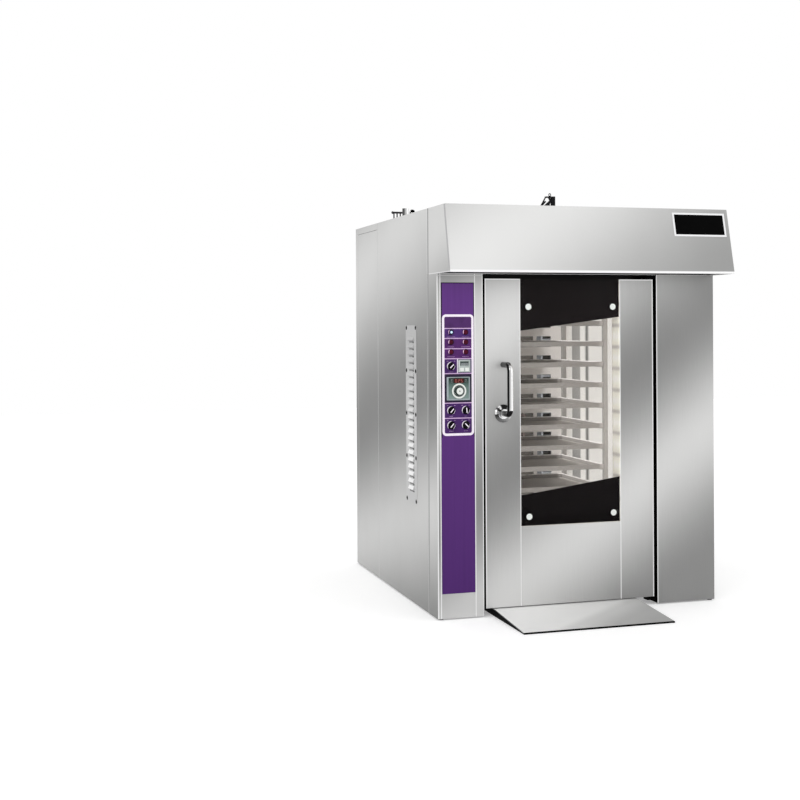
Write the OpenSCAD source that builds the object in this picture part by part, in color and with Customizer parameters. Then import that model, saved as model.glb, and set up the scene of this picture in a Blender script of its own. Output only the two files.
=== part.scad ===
// Rotating rack oven: a stainless steel baking chamber with a glazed door, a control column,
// a steam canopy and a rack that hangs from a driven spindle and turns in the hot air.
// X runs along the front, -Y is the front, +Z is up. The origin is on the ground, under the
// middle of the casing.

/* [Casing] */
// Width over the side panels
body_w = 1650; // [1600:10:1800]
// Depth from the column fronts to the rear panel
body_d = 1700; // [1680:10:1900]
// Height of the roof
body_h = 2200; // [2180:10:2400]
// Thickness of the casing sheets
sheet_t = 2; // [1.5:0.5:3]
// Gap between the casing sheets and the ground
ground_gap = 6; // [4:1:8]
// Width of the seams between neighbouring sheets
seam_gap = 2; // [1:0.5:4]
// Distance from the front to the seam between the two left side panels
side_seam_at = 1165; // [1100:5:1250]
// Width of the rear panel's wrap around the back corners
corner_wrap = 56; // [40:2:80]
// Height of the roof's lip over the left rear panel
roof_rail_h = 40; // [30:2:60]

/* [Base] */
// Height of the levelling feet
foot_h = 8; // [6:1:12]
// Radius of the levelling feet
foot_r = 15; // [12:1:20]
// Height of the base channels
base_h = 22; // [18:1:30]
// Width of the base channels and posts
rail_w = 40; // [30:2:50]
// Thickness of the chamber floor plate
floor_t = 10; // [8:1:14]

/* [Columns] */
// Width of the control column, left of the door
column_w = 262; // [250:2:275]
// Depth of the columns' side returns
column_d = 160; // [140:5:180]
// Width of the door opening between the columns
opening_w = 1030; // [1010:5:1060]

/* [Door] */
// Gap beside the door
door_gap = 15; // [12:1:20]
// Gap between the door and the canopy's underside
door_top_gap = 25; // [20:1:35]
// Gap between the door and the ramp
door_lift = 5; // [4:1:8]
// Thickness of the door
door_t = 90; // [80:2:100]
// How far the door sits behind the column fronts
door_recess = 12; // [8:1:16]
// Width of the door's stiles
stile_w = 205; // [190:5:215]
// Height of the window's lower edge
window_sill_z = 474; // [400:10:560]
// Thickness of the window panes
glass_t = 6; // [5:1:8]
// Thickness of the black window masks
mask_t = 1; // [0.5:0.5:1.5]
// Height of the upper mask at the handle side
upper_mask_left_h = 282; // [250:2:310]
// Height of the upper mask at the hinge side
upper_mask_right_h = 208; // [180:2:240]
// Height of the lower mask at the handle side
lower_mask_left_h = 166; // [140:2:190]
// Height of the lower mask at the hinge side
lower_mask_right_h = 248; // [220:2:280]
// Width of the frame around the window cavity
cavity_frame = 24; // [16:2:30]
// Radius of the caps that hold the outer pane
cap_r = 20; // [16:1:24]
// Distance of the caps from the window's side edges
cap_inset = 44; // [36:2:60]
// Distance of the upper caps below the window's top
cap_top_drop = 152; // [120:2:180]
// Distance of the lower caps above the window's lower edge
cap_sill_rise = 51; // [40:1:80]
// Width of the door gasket
gasket_w = 16; // [12:1:18]
// Distance between the door's back and the chamber front
gasket_gap = 5; // [4:1:7]
// Inset of the pivot axis from the door's edge and face
pivot_inset = 20; // [18:1:24]
// Radius of the pivot pins
pivot_r = 8; // [6:1:10]
// Thickness of the pivot brackets
bracket_t = 12; // [10:1:14]

/* [Handle] */
// Height of the handle's spindle
handle_z = 1089; // [1000:5:1150]
// Distance of the spindle from the door's handle side
handle_inset = 102; // [95:1:110]
// Radius of the grip
grip_r = 16; // [13:1:18]
// Distance of the grip's axis from the door's face
grip_reach = 107; // [90:1:115]
// Height of the grip between its two bends
grip_h = 263; // [220:1:290]
// Wall of the handle's tube
handle_wall = 3; // [2:0.5:4]
// Bend radius of the grip
grip_bend_r = 34; // [30:1:40]
// Radius of the rosette
rosette_r = 48; // [40:1:55]
// Thickness of the rosette
rosette_t = 10; // [8:1:14]
// Radius of the spindle
spindle_r = 13; // [10:1:15]
// Height of the latch bolt
bolt_h = 20; // [16:1:24]
// Length of the latch bolt
bolt_l = 76; // [66:1:84]
// How far the latch bolt stands out of the door
bolt_throw = 10; // [8:1:11]

/* [Control panel] */
// Distance of the panel from the casing's left side
panel_inset = 24; // [20:1:30]
// Width of the panel
panel_w = 187; // [180:1:195]
// Height of the panel's lower edge
panel_z0 = 138; // [120:2:200]
// Gap between the panel's upper edge and the canopy
panel_top_gap = 47; // [30:1:100]
// Thickness of the panel
panel_t = 1.5; // [1:0.5:2.5]
// Distance of the left row of controls from the casing's side
control_left = 79; // [76:1:82]
// Distance of the right row of controls from the casing's side
control_right = 161; // [158:1:164]
// Height of the lowest row of indicator lamps
lamp_z = 1424; // [1420:1:1428]
// Spacing of the indicator lamps
lamp_pitch = 52.5; // [48:0.5:56]
// Radius of the indicator lamps
lamp_r = 12; // [9:1:14]
// Height of the programme knob
programme_z = 1349; // [1346:1:1352]
// Height of the upper pair of switches
switch_z = 1113; // [1110:1:1116]
// Spacing of the two pairs of switches
switch_pitch = 79; // [76:1:82]
// Radius of the knobs
knob_r = 18; // [15:1:20]
// Height of the knobs
knob_h = 18; // [14:1:24]
// Width and height of the timer's face
timer_w = 67; // [60:1:70]
// Width and height of the temperature controller's face
controller_w = 125; // [118:1:130]
// Height of the middle of the temperature controller
controller_z = 1229; // [1226:1:1234]
// Distance of the dial's centre below the middle of the controller
dial_drop = 13; // [8:1:16]
// Radius of the temperature dial
dial_r = 38; // [32:1:42]
// How far the instruments' faces stand out of the panel
face_t = 6; // [4:1:10]
// Depth of the instruments behind the panel
instrument_d = 80; // [60:2:100]

/* [Canopy] */
// Height of the canopy
canopy_h = 359; // [340:1:380]
// Height of the canopy's upright hem
hem_h = 12; // [8:1:20]
// Reach of the canopy's hem in front of the columns
canopy_reach = 229; // [200:1:260]
// Reach of the canopy's top in front of the columns
canopy_top_reach = 148; // [120:1:180]
// Depth of the canopy's cheeks behind the column fronts
canopy_return = 136; // [110:1:150]
// Width of the nameplate
plate_w = 320; // [280:2:340]
// Height of the nameplate along the slope
plate_h = 134; // [110:2:150]
// Thickness of the nameplate
plate_t = 3; // [2:0.5:5]
// Distance of the nameplate from the canopy's right end
plate_inset = 22; // [15:1:60]
// Distance of the nameplate's lower edge above the canopy's hem, along the slope
plate_rise = 198; // [160:2:210]

/* [Ramp] */
// Distance of the ramp from the casing's left side
ramp_at = 320; // [300:1:340]
// Width of the ramp
ramp_w = 850; // [820:5:880]
// Run of the ramp in front of the columns
ramp_run = 415; // [360:5:480]
// Height of the ramp's nose
ramp_nose_h = 8; // [6:1:12]
// Thickness of the ramp plate
ramp_t = 4; // [3:1:5]
// Drop of the ramp's top below the chamber floor
ramp_drop = 2; // [1:1:4]
// Depth of the ramp's support under the door
ramp_tuck = 190; // [170:5:210]

/* [Side vent] */
// Distance of the vent strip from the front
vent_at = 362; // [340:2:400]
// Width of the vent strip
vent_w = 200; // [180:2:220]
// Height of the vent strip's lower edge
vent_z0 = 567; // [500:5:600]
// Height of the vent strip
vent_h = 1000; // [960:5:1040]
// Number of louvres
louvre_count = 22; // [16:1:23]
// Spacing of the louvres
louvre_pitch = 40; // [36:1:42]
// Length of one louvre
louvre_l = 110; // [90:2:130]
// How far a louvre stands out
louvre_out = 8; // [6:1:12]
// Height of one louvre's mouth
louvre_h = 10; // [6:1:14]

/* [Chamber] */
// Inner width of the baking chamber
chamber_w = 1100; // [1080:10:1120]
// Space between the insulation and the rear panel
rear_space = 161; // [155:1:200]
// Overlap of the door beside the entrance
door_lap = 60; // [50:1:80]
// Overlap of the door above the entrance
door_top_lap = 26; // [24:1:40]
// Height of the lintel between the entrance and the chamber's ceiling
lintel_h = 10; // [6:1:20]
// Depth of the entrance's reveal
reveal_d = 60; // [50:5:70]
// Depth of the heating compartment behind the air panel
heat_d = 173; // [165:1:180]
// Thickness of the side insulation
wool_t = 65; // [50:1:70]
// Thickness of the roof insulation
roof_wool_t = 96; // [80:1:98]
// Width of the air panel's slots
slot_w = 100; // [80:5:110]
// Height of the air panel's slots
slot_h = 70; // [50:5:90]
// Number of slot rows
slot_rows = 12; // [8:1:13]
// Height of the lowest slots above the floor
slot_rise = 130; // [100:5:160]
// Distance of the highest slots below the ceiling
slot_top_gap = 185; // [150:5:220]
// Radius of the air panel's intake
intake_r = 150; // [120:5:160]

/* [Rack] */
// Gap beside the rack while it rolls through the entrance
pass_gap = 20; // [15:1:40]
// Gap between the turning rack's corners and the chamber
swing_gap = 28; // [20:1:40]
// Distance of the rack's top bar below the ceiling
rack_top_gap = 100; // [90:1:120]
// Height of the rack's lower frame
rack_low_z = 150; // [145:1:170]
// Width of the rack's tubes
tube_w = 25; // [20:1:30]
// Number of trays
tray_count = 12; // [8:1:12]
// Height of the lowest tray's rim
tray_z = 262; // [255:1:290]
// Distance of the highest tray's rim below the rack's top bar
tray_top_gap = 112.5; // [60:0.5:140]
// Height of a tray's rim
tray_h = 28; // [20:1:32]
// Thickness of a tray's sheet
tray_t = 1.5; // [1:0.5:2]
// Radius of the rack's wheels
wheel_r = 50; // [40:1:52]
// Width of the rack's wheels
wheel_w = 30; // [24:1:34]
// Gap between the wheels and the chamber floor while the rack hangs
wheel_lift = 8; // [5:1:12]
// Distance of the wheel axles from the rack's ends
axle_inset = 80; // [60:1:100]

/* [Drive] */
// Radius of the rack's spindle
shaft_r = 25; // [20:1:30]
// Reduction of the belt drive
drive_ratio = 3; // [2:0.25:3]
// Radius of the motor's pulley
pinion_r = 40; // [34:1:42]
// Width of the pulleys' flanges
pulley_w = 30; // [26:1:34]
// Width of the drive belt
belt_w = 20; // [16:1:22]
// Thickness of the drive belt
belt_t = 7; // [5:1:8]
// Sideways distance of the motor from the spindle
motor_dx = 183; // [175:1:200]
// Distance of the motor behind the spindle
motor_dy = 18; // [0:1:30]
// Radius of the drive motor
motor_r = 29; // [26:1:34]
// Height of the drive motor above the roof
motor_rise = 146; // [130:1:160]
// Height of the motor's head, which stands over the body
motor_head_h = 60; // [50:1:70]
// Radius of the post beside the motor
motor_post_r = 14.5; // [12:0.5:16]
// Width of the plate that carries the spindle's bearing
deck_w = 280; // [240:10:300]
// Running clearance of every shaft in its bore
run_gap = 0.05; // [0.02:0.01:0.1]

/* [Fan] */
// Height of the fan's axis
fan_z = 920; // [900:5:940]
// Radius of the fan's impeller
fan_r = 228; // [200:2:232]
// Length of the fan's impeller
fan_l = 116; // [90:2:120]
// Gap between the air panel and the impeller
fan_gap = 27; // [20:1:32]
// Number of impeller blades
blade_count = 20; // [12:1:28]
// Radius of the fan's shaft
fan_shaft_r = 12; // [10:1:16]
// Radius of the fan motor
fan_motor_r = 75; // [60:1:85]
// Length of the fan motor
fan_motor_l = 138; // [110:1:140]
// Width of the fan motor's mounting plate
fan_plate_w = 300; // [240:10:320]
// Radius of the heater rings
heater_r = 270; // [255:1:285]
// Spacing of the heater rings
heater_pitch = 40; // [30:1:44]
// Radius of the heater tubes
heater_tube_r = 6; // [4:0.5:8]
// Width of the steam generator
steam_w = 112; // [90:2:130]
// Depth of the steam generator
steam_d = 90; // [70:2:100]
// Distance of the steam generator from the chamber's side
steam_inset = 38; // [10:1:60]
// Distance of the steam generator below the ceiling
steam_top_gap = 260; // [200:10:320]

/* [Roof pipes] */
// Distance of the pipes from the casing's left side
pipe_at = 85; // [80:1:100]
// Distance of the exhaust flue from the front
flue_at = 837; // [820:1:860]
// Radius of the exhaust flue
flue_r = 21; // [18:1:26]
// Wall of the exhaust flue
flue_wall = 3; // [2:0.5:4]
// Height of the flue above the roof
flue_rise = 62; // [50:1:80]
// Distance of the relief elbow from the front
elbow_at = 710; // [690:1:730]
// Radius of the relief elbow's tube
elbow_r = 16; // [13:1:18]
// Distance of the water manifold from the front
manifold_at = 970; // [950:1:1000]
// Distance of the manifold's middle from the casing's left side
manifold_side = 70; // [60:1:80]
// Length of the water manifold
manifold_l = 68; // [60:1:80]
// Height of the manifold above the roof
manifold_rise = 49; // [40:1:60]
// Spacing of the manifold's risers
riser_pitch = 20; // [18:1:24]

/* [Hidden] */

eps = 0.3;            // stand-off between surfaces that move past each other
cut = 1;              // overshoot of every cutting tool
$fn = 64;

// Casing planes
xl = -body_w / 2;
xr = body_w / 2;
yf = -body_d / 2;
yr = body_d / 2;
xli = xl + sheet_t;
xri = xr - sheet_t;
yri = yr - sheet_t;
roof_under = body_h - sheet_t;
base_z1 = foot_h + base_h;
floor_z = base_z1 + floor_t;

// Door opening and door
canopy_z = body_h - canopy_h;
open_x0 = xl + column_w;
open_x1 = open_x0 + opening_w;
axis_x = (open_x0 + open_x1) / 2;
door_x0 = open_x0 + door_gap;
door_x1 = open_x1 - door_gap;
door_y0 = yf + door_recess;
door_y1 = door_y0 + door_t;
door_z0 = floor_z + door_lift - ramp_drop;
door_z1 = canopy_z - door_top_gap;
win_x0 = door_x0 + stile_w;
win_x1 = door_x1 - stile_w;
cav_x0 = win_x0 + seam_gap;
cav_x1 = win_x1 - seam_gap;
cav_z0 = window_sill_z + seam_gap;
cav_z1 = door_z1 - cavity_frame;
pivot_x = door_x1 - pivot_inset;
pivot_y = door_y0 + pivot_inset;
collar_t = 3;
pin_l = 12;

// Chamber
face_y = door_y1 + gasket_gap;
chamber_y0 = face_y + reveal_d;
wool_y1 = yri - rear_space;
heat_y1 = wool_y1 - wool_t - sheet_t;
chamber_y1 = heat_y1 - heat_d;
axis_y = (chamber_y0 + chamber_y1) / 2;
chamber_x0 = axis_x - chamber_w / 2;
chamber_x1 = axis_x + chamber_w / 2;
ent_x0 = door_x0 + door_lap;
ent_x1 = door_x1 - door_lap;
ent_z1 = door_z1 - door_top_lap;
ceiling_z = ent_z1 + lintel_h;
wool_z1 = ceiling_z + sheet_t + roof_wool_t;
face_t_front = 3;     // face sheet around the entrance

// Rack: it passes the entrance and swings clear of the chamber's walls
rack_w = ent_x1 - ent_x0 - 2 * pass_gap;
swing_r = min(chamber_w, chamber_y1 - chamber_y0) / 2 - swing_gap;
rack_d = 2 * sqrt(swing_r * swing_r - rack_w * rack_w / 4);
rack_top_z = ceiling_z - rack_top_gap;
tray_pitch = (rack_top_z - tray_top_gap - tray_z) / (tray_count - 1);
wheel_base = rack_d - 2 * axle_inset;

// Frame and drive levels
top_rail_z0 = wool_z1;
top_rail_z1 = top_rail_z0 + rail_w;
beam_z1 = top_rail_z1 + rail_w;
beam_off = 110;
deck_t = 10;
deck_z1 = beam_z1 + deck_t;
bearing_h = 40;
bearing_z1 = deck_z1 + bearing_h;
pulley_z0 = bearing_z1 + 10;
pulley_z1 = pulley_z0 + pulley_w;
belt_z = (pulley_z0 + pulley_z1) / 2;
pulley_r = drive_ratio * (pinion_r - belt_t / 2) + belt_t / 2;
motor_x = axis_x + motor_dx;
motor_y = axis_y + motor_dy;
belt_span = sqrt(motor_dx * motor_dx + motor_dy * motor_dy);
gearbox_w = 110;
gearbox_h = 80;
motor_plate_t = 8;
gearbox_z0 = pulley_z1 + 2 + motor_plate_t;
hook_drop = 40;
hook_plate_t = 14;
hanger_z = rack_top_z + hook_drop;
hook_x = 2.2 * shaft_r;

// Handle
handle_x = door_x0 + handle_inset;
grip_y = door_y0 - grip_reach;
grip_z1 = handle_z + grip_h;
pocket_gap = 0.3;

// Roof pipes
pipe_x = xl + pipe_at;
flue_y = yf + flue_at;
elbow_y = yf + elbow_at;
manifold_y = yf + manifold_at;
manifold_x = xl + manifold_side;
flue_x = chamber_x0 + 60;
flue_run_z = beam_z1 + 60;
// the flue's leg passes behind the rear drive beam
leg_y = axis_y + beam_off + rail_w / 2 + flue_r + 20;
damper_z = body_h - 70;
damper_lever_l = 40;

// ---------------------------------------------------------------- helpers
module slab(a, b) translate(a) cube(b - a);
module rod_x(x0, x1, y, z, r) translate([x0, y, z]) rotate([0, 90, 0]) cylinder(h = x1 - x0, r = r);
module rod_y(x, y0, y1, z, r) translate([x, y0, z]) rotate([-90, 0, 0]) cylinder(h = y1 - y0, r = r);
module rod_z(x, y, z0, z1, r) translate([x, y, z0]) cylinder(h = z1 - z0, r = r);
module ring_z(x, y, z0, z1, r_out, r_in)
    translate([x, y, z0])
        rotate_extrude() translate([r_in, 0]) square([r_out - r_in, z1 - z0]);
// extrudes an outline drawn as (depth, height) along X
module along_x(x0, x1)
    translate([x0, 0, 0]) rotate([90, 0, 90]) linear_extrude(x1 - x0) children();
// extrudes an outline drawn as (width, height) along Y
module along_y(y0, y1)
    translate([0, y1, 0]) rotate([90, 0, 0]) linear_extrude(y1 - y0) children();

// ---------------------------------------------------------------- frame and chamber
sill_y = yf + ramp_tuck;
post_y = [face_y + face_t_front, yri - 2 * sheet_t - rail_w];
post_x = [xli, xri - rail_w];

module main_frame() color("dimgray") {
    // base rails, cross members and the short members under the columns
    for (x = post_x) slab([x, yf + sheet_t, foot_h], [x + rail_w, yri, base_z1]);
    for (y = [sill_y, -rail_w / 2, post_y[1]])
        slab([xli, y, foot_h], [xri, y + rail_w, base_z1]);
    slab([xli, yf + sheet_t, foot_h], [open_x0 - sheet_t, yf + sheet_t + rail_w, base_z1]);
    slab([open_x1 + sheet_t, yf + sheet_t, foot_h], [xri, yf + sheet_t + rail_w, base_z1]);
    // posts, top rails and drive beams
    for (x = post_x, y = post_y) slab([x, y, base_z1], [x + rail_w, y + rail_w, top_rail_z1]);
    for (x = post_x)
        slab([x, post_y[0], top_rail_z0], [x + rail_w, post_y[1] + rail_w, top_rail_z1]);
    for (y = post_y) slab([xli, y, top_rail_z0], [xri, y + rail_w, top_rail_z1]);
    for (s = [-1, 1])
        slab([xli, axis_y + s * beam_off - rail_w / 2, top_rail_z1],
             [xri, axis_y + s * beam_off + rail_w / 2, beam_z1]);
    // posts that carry the roof's edge
    for (x = post_x, y = post_y)
        slab([x, y, top_rail_z1], [x + rail_w, y + rail_w, roof_under]);
    // levelling feet, with one in the middle
    for (x = post_x, y = [yf + sheet_t, -rail_w / 2, post_y[1]])
        rod_z(x + rail_w / 2, y + rail_w / 2, 0, foot_h, foot_r);
    rod_z(0, 0, 0, foot_h, foot_r);
}

module chamber_floor() color("silver")
    slab([chamber_x0 - sheet_t - wool_t, face_y, base_z1],
         [chamber_x1 + sheet_t + wool_t, wool_y1, floor_z]);

// welded liner of plain sheets, each with a hair seam to the next
shell_seam = 0.3;
module chamber_shell() color("gainsboro") {
    t = sheet_t;
    g = shell_seam;
    front = chamber_y0 + t;
    reveal_y = face_y + face_t_front + g;
    // side walls
    for (x = [chamber_x0 - t, chamber_x1])
        slab([x, front + g, floor_z], [x + t, heat_y1 - g, ceiling_z - g]);
    // rear wall with the hole of the fan shaft
    difference() {
        slab([chamber_x0 - t, heat_y1, floor_z], [chamber_x1 + t, heat_y1 + t, ceiling_z + t]);
        rod_y(axis_x, heat_y1 - cut, heat_y1 + t + cut, fan_z, fan_shaft_r + 10);
    }
    // ceiling with the holes of the spindle and the flue
    difference() {
        slab([chamber_x0 - t, front + g, ceiling_z], [chamber_x1 + t, heat_y1 - g, ceiling_z + t]);
        rod_z(axis_x, axis_y, ceiling_z - cut, ceiling_z + t + cut, shaft_r + 10);
        rod_z(flue_x, leg_y, ceiling_z - cut, ceiling_z + t + cut, flue_r - flue_wall);
    }
    // front wall beside and over the entrance
    slab([chamber_x0 - t, chamber_y0, floor_z], [ent_x0 - t - g, front, ceiling_z + t]);
    slab([ent_x1 + t + g, chamber_y0, floor_z], [chamber_x1 + t, front, ceiling_z + t]);
    slab([ent_x0 - t, chamber_y0, ent_z1 + t + g], [ent_x1 + t, front, ceiling_z + t]);
    // reveal of the entrance
    for (x = [ent_x0 - t, ent_x1])
        slab([x, reveal_y, floor_z], [x + t, front, ent_z1 - g]);
    slab([ent_x0 - t, reveal_y, ent_z1], [ent_x1 + t, front, ent_z1 + t]);
    // face sheet around the entrance and bulkhead behind the canopy
    slab([open_x0, face_y, floor_z], [ent_x0, face_y + face_t_front, ent_z1 - g]);
    slab([ent_x1, face_y, floor_z], [open_x1, face_y + face_t_front, ent_z1 - g]);
    slab([open_x0, face_y, ent_z1], [open_x1, face_y + face_t_front, canopy_z - g]);
    slab([xli, face_y, canopy_z], [xri, face_y + face_t_front, roof_under]);
}

slot_x = [for (s = [-1, 1], k = [0, 1]) axis_x + s * (intake_r + 110 + k * (slot_w + 25))];
slot_z0 = floor_z + slot_rise;
slot_pitch = (ceiling_z - slot_top_gap - slot_h - slot_z0) / (slot_rows - 1);

// five sheets edge to edge: two slotted ones, two plain ones and the intake's sheet between them
intake_margin = 40;
air_seam = 0.3;
module air_sheet(x0, x1, z0, z1) slab([x0, chamber_y1, z0], [x1, chamber_y1 + sheet_t, z1]);
module air_panel() color("lightgray") {
    half = intake_r + intake_margin;
    difference() {
        union() {
            air_sheet(chamber_x0, axis_x - half - air_seam, floor_z, ceiling_z);
            air_sheet(axis_x + half + air_seam, chamber_x1, floor_z, ceiling_z);
        }
        for (x = slot_x, k = [0:slot_rows - 1])
            slab([x - slot_w / 2, chamber_y1 - cut, slot_z0 + k * slot_pitch],
                 [x + slot_w / 2, chamber_y1 + sheet_t + cut, slot_z0 + k * slot_pitch + slot_h]);
    }
    air_sheet(axis_x - half, axis_x + half, floor_z, fan_z - half - air_seam);
    air_sheet(axis_x - half, axis_x + half, fan_z + half + air_seam, ceiling_z);
    difference() {
        air_sheet(axis_x - half, axis_x + half, fan_z - half, fan_z + half);
        rod_y(axis_x, chamber_y1 - cut, chamber_y1 + sheet_t + cut, fan_z, intake_r);
    }
}

// four mats: two sides, rear and top
module insulation() color("khaki") {
    x0 = chamber_x0 - sheet_t - wool_t;
    x1 = chamber_x1 + sheet_t + wool_t;
    rear_y = heat_y1 + sheet_t;
    top_z = ceiling_z + sheet_t;
    g = shell_seam;
    for (x = [x0, chamber_x1 + sheet_t])
        slab([x, chamber_y0, floor_z], [x + wool_t, rear_y - g, top_z - g]);
    difference() {
        slab([x0, rear_y, floor_z], [x1, wool_y1, top_z - g]);
        rod_y(axis_x, heat_y1, wool_y1 + cut, fan_z, fan_shaft_r + 10);
    }
    difference() {
        slab([x0, chamber_y0, top_z], [x1, wool_y1, wool_z1]);
        rod_z(axis_x, axis_y, ceiling_z, wool_z1 + cut, shaft_r + 10);
        rod_z(flue_x, leg_y, ceiling_z, wool_z1 + cut, flue_r);
    }
}

// ---------------------------------------------------------------- casing
module instrument_cutouts(y0, y1) {
    for (k = [0:2], x = [control_left, control_right])
        rod_y(xl + x, y0, y1, lamp_z + k * lamp_pitch, lamp_r - 3);
    for (p = knob_places) rod_y(p[0], y0, y1, p[1], spindle_hole_r);
    square_hole(timer_x, timer_z, timer_w - 8, y0, y1);
    square_hole(controller_x, controller_z, controller_w - 10, y0, y1);
}
module square_hole(x, z, w, y0, y1) slab([x - w / 2, y0, z - w / 2], [x + w / 2, y1, z + w / 2]);

module control_column() color("silver")
    difference() {
        union() {
            slab([xl, yf, ground_gap], [open_x0, yf + sheet_t, canopy_z]);
            slab([xl, yf, ground_gap], [xli, yf + column_d - seam_gap, canopy_z]);
            slab([open_x0 - sheet_t, yf, ground_gap], [open_x0, face_y, canopy_z]);
        }
        instrument_cutouts(yf - cut, yf + sheet_t + cut);
    }

module right_column() color("silver")
    union() {
        slab([open_x1, yf, ground_gap], [xr, yf + sheet_t, canopy_z]);
        slab([xri, yf, ground_gap], [xr, yf + column_d - seam_gap, canopy_z]);
        slab([open_x1, yf, ground_gap], [open_x1 + sheet_t, face_y, canopy_z]);
    }

// outline of a side panel: it steps forward above the column, under the canopy's cheek
module side_outline(y1, z1) {
    y0 = yf + column_d;
    yc = yf + canopy_return + seam_gap;
    zc = canopy_z + seam_gap;
    polygon([[y0, ground_gap], [y1, ground_gap], [y1, z1], [yc, z1], [yc, zc], [y0, zc]]);
}

side_seam_y = yf + side_seam_at;
wrap_y = yr - corner_wrap;

module left_front_panel() color("silver")
    difference() {
        along_x(xl, xli) side_outline(side_seam_y - seam_gap, body_h);
        slab([xl - cut, vent_y + (vent_w - louvre_l) / 2 - 10, vent_z0 + 40],
             [xli + cut, vent_y + (vent_w + louvre_l) / 2 + 10, vent_z0 + vent_h - 40]);
    }

module left_rear_panel() color("silver")
    slab([xl, side_seam_y, ground_gap], [xli, wrap_y - seam_gap, body_h - roof_rail_h - seam_gap]);

module right_side_panel() color("silver")
    along_x(xri, xr) side_outline(wrap_y - seam_gap, body_h);

module rear_panel() color("silver")
    difference() {
        union() {
            slab([xl, yri, ground_gap], [xr, yr, body_h]);
            slab([xl, wrap_y, ground_gap], [xli, yr, body_h]);
            slab([xri, wrap_y, ground_gap], [xr, yr, body_h]);
        }
        for (k = [0:9], x = [-1, 0, 1])
            slab([axis_x + x * 170 - 65, yri - cut, fan_z - 190 + k * 40],
                 [axis_x + x * 170 + 65, yr + cut, fan_z - 178 + k * 40]);
    }

module roof_panel() color("silver")
    difference() {
        union() {
            slab([xli, yf + canopy_return + seam_gap, roof_under], [xri, yri, body_h]);
            // lip folded down over the left rear panel
            slab([xl, side_seam_y, body_h - roof_rail_h], [xli, wrap_y - seam_gap, body_h]);
        }
        rod_z(motor_x, motor_y, roof_under - cut, body_h + cut, motor_r + 8);
        rod_z(pipe_x, flue_y, roof_under - cut, body_h + cut, flue_r + eps);
    }

// canopy: a folded hood, open underneath in front of the columns
slope = atan((canopy_reach - canopy_top_reach) / (body_h - canopy_z - hem_h));
module canopy_outline(t)
    polygon([
        [yf - canopy_reach + t, canopy_z - (t > 0 ? cut : 0)],
        [yf - canopy_reach + t, canopy_z + hem_h],
        [yf - canopy_top_reach + t, body_h - t],
        [yf + canopy_return - (t > 0 ? -cut : 0), body_h - t],
        [yf + canopy_return - (t > 0 ? -cut : 0), canopy_z - (t > 0 ? cut : 0)]
    ]);

module canopy() color("gainsboro")
    union() {
        difference() {
            along_x(xl, xr) canopy_outline(0);
            along_x(xli, xri) canopy_outline(sheet_t);
        }
        // cover sheet over the columns and the door's head
        slab([xl, yf, canopy_z], [xr, face_y, canopy_z + sheet_t]);
        // inward fold of the hem
        slab([xl, yf - canopy_reach, canopy_z], [xr, yf - canopy_reach + 25, canopy_z + sheet_t]);
    }

// places things on the canopy's slope: x to the right, z up the slope, -y out of it
module on_slope()
    translate([0, yf - canopy_reach, canopy_z + hem_h]) rotate([-slope, 0, 0]) children();

plate_x0 = xr - plate_inset - plate_w;
plate_rim = 10;
module nameplate() color("silver")
    on_slope()
        difference() {
            slab([plate_x0, -plate_t, plate_rise], [plate_x0 + plate_w, 0, plate_rise + plate_h]);
            slab([plate_x0 + plate_rim, -plate_t - cut, plate_rise + plate_rim],
                 [plate_x0 + plate_w - plate_rim, -plate_t / 2, plate_rise + plate_h - plate_rim]);
        }

vent_y = yf + vent_at;
vent_mid_y = vent_y + vent_w / 2;
louvre_z0 = vent_z0 + (vent_h - (louvre_count - 1) * louvre_pitch) / 2 - louvre_h / 2;
module vent_strip() color("silver")
    difference() {
        union() {
            slab([xl - sheet_t, vent_y, vent_z0], [xl, vent_y + vent_w, vent_z0 + vent_h]);
            for (k = [0:louvre_count - 1])
                translate([xl - sheet_t, vent_mid_y + louvre_l / 2, louvre_z0 + k * louvre_pitch])
                    rotate([90, 0, 0])
                        linear_extrude(louvre_l)
                            polygon([[0, 0], [-louvre_out, 0], [0, 2 * louvre_h]]);
        }
        for (k = [0:louvre_count - 1])
            translate([xl + cut, vent_mid_y + louvre_l / 2 - 2, louvre_z0 + k * louvre_pitch - cut])
                rotate([90, 0, 0])
                    linear_extrude(louvre_l - 4)
                        polygon([[0, 0], [-louvre_out, 0], [-sheet_t - cut, 2 * louvre_h - 5],
                                 [0, 2 * louvre_h - 5]]);
    }

// ---------------------------------------------------------------- control panel
spindle_hole_r = 5;
knob_shaft_r = spindle_hole_r - run_gap;
timer_x = xl + control_right - 8;
timer_z = programme_z;
controller_x = xl + (control_left + control_right) / 2 + 1;
dial_z = controller_z - dial_drop;
knob_places = [
    [xl + control_left, programme_z],
    [xl + control_left, switch_z],
    [xl + control_right, switch_z],
    [xl + control_left, switch_z - switch_pitch],
    [xl + control_right, switch_z - switch_pitch]
];
panel_y = yf - panel_t;

module control_panel() color("rebeccapurple")
    difference() {
        slab([xl + panel_inset, panel_y, panel_z0],
             [xl + panel_inset + panel_w, yf, canopy_z - panel_top_gap]);
        instrument_cutouts(panel_y - cut, yf + cut);
    }

module indicator_lamps() color("firebrick")
    for (k = [0:2], x = [xl + control_left, xl + control_right]) {
        z = lamp_z + k * lamp_pitch;
        rod_y(x, panel_y - 4, panel_y, z, lamp_r);
        rod_y(x, panel_y, yf + 24, z, lamp_r - 3);
        translate([x, panel_y - 4, z]) rotate([90, 0, 0])
            rotate_extrude() intersection() {
                translate([0, -lamp_r]) circle(r = 1.5 * lamp_r);
                translate([0, 0]) square([lamp_r - 2, lamp_r]);
            }
    }

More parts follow.
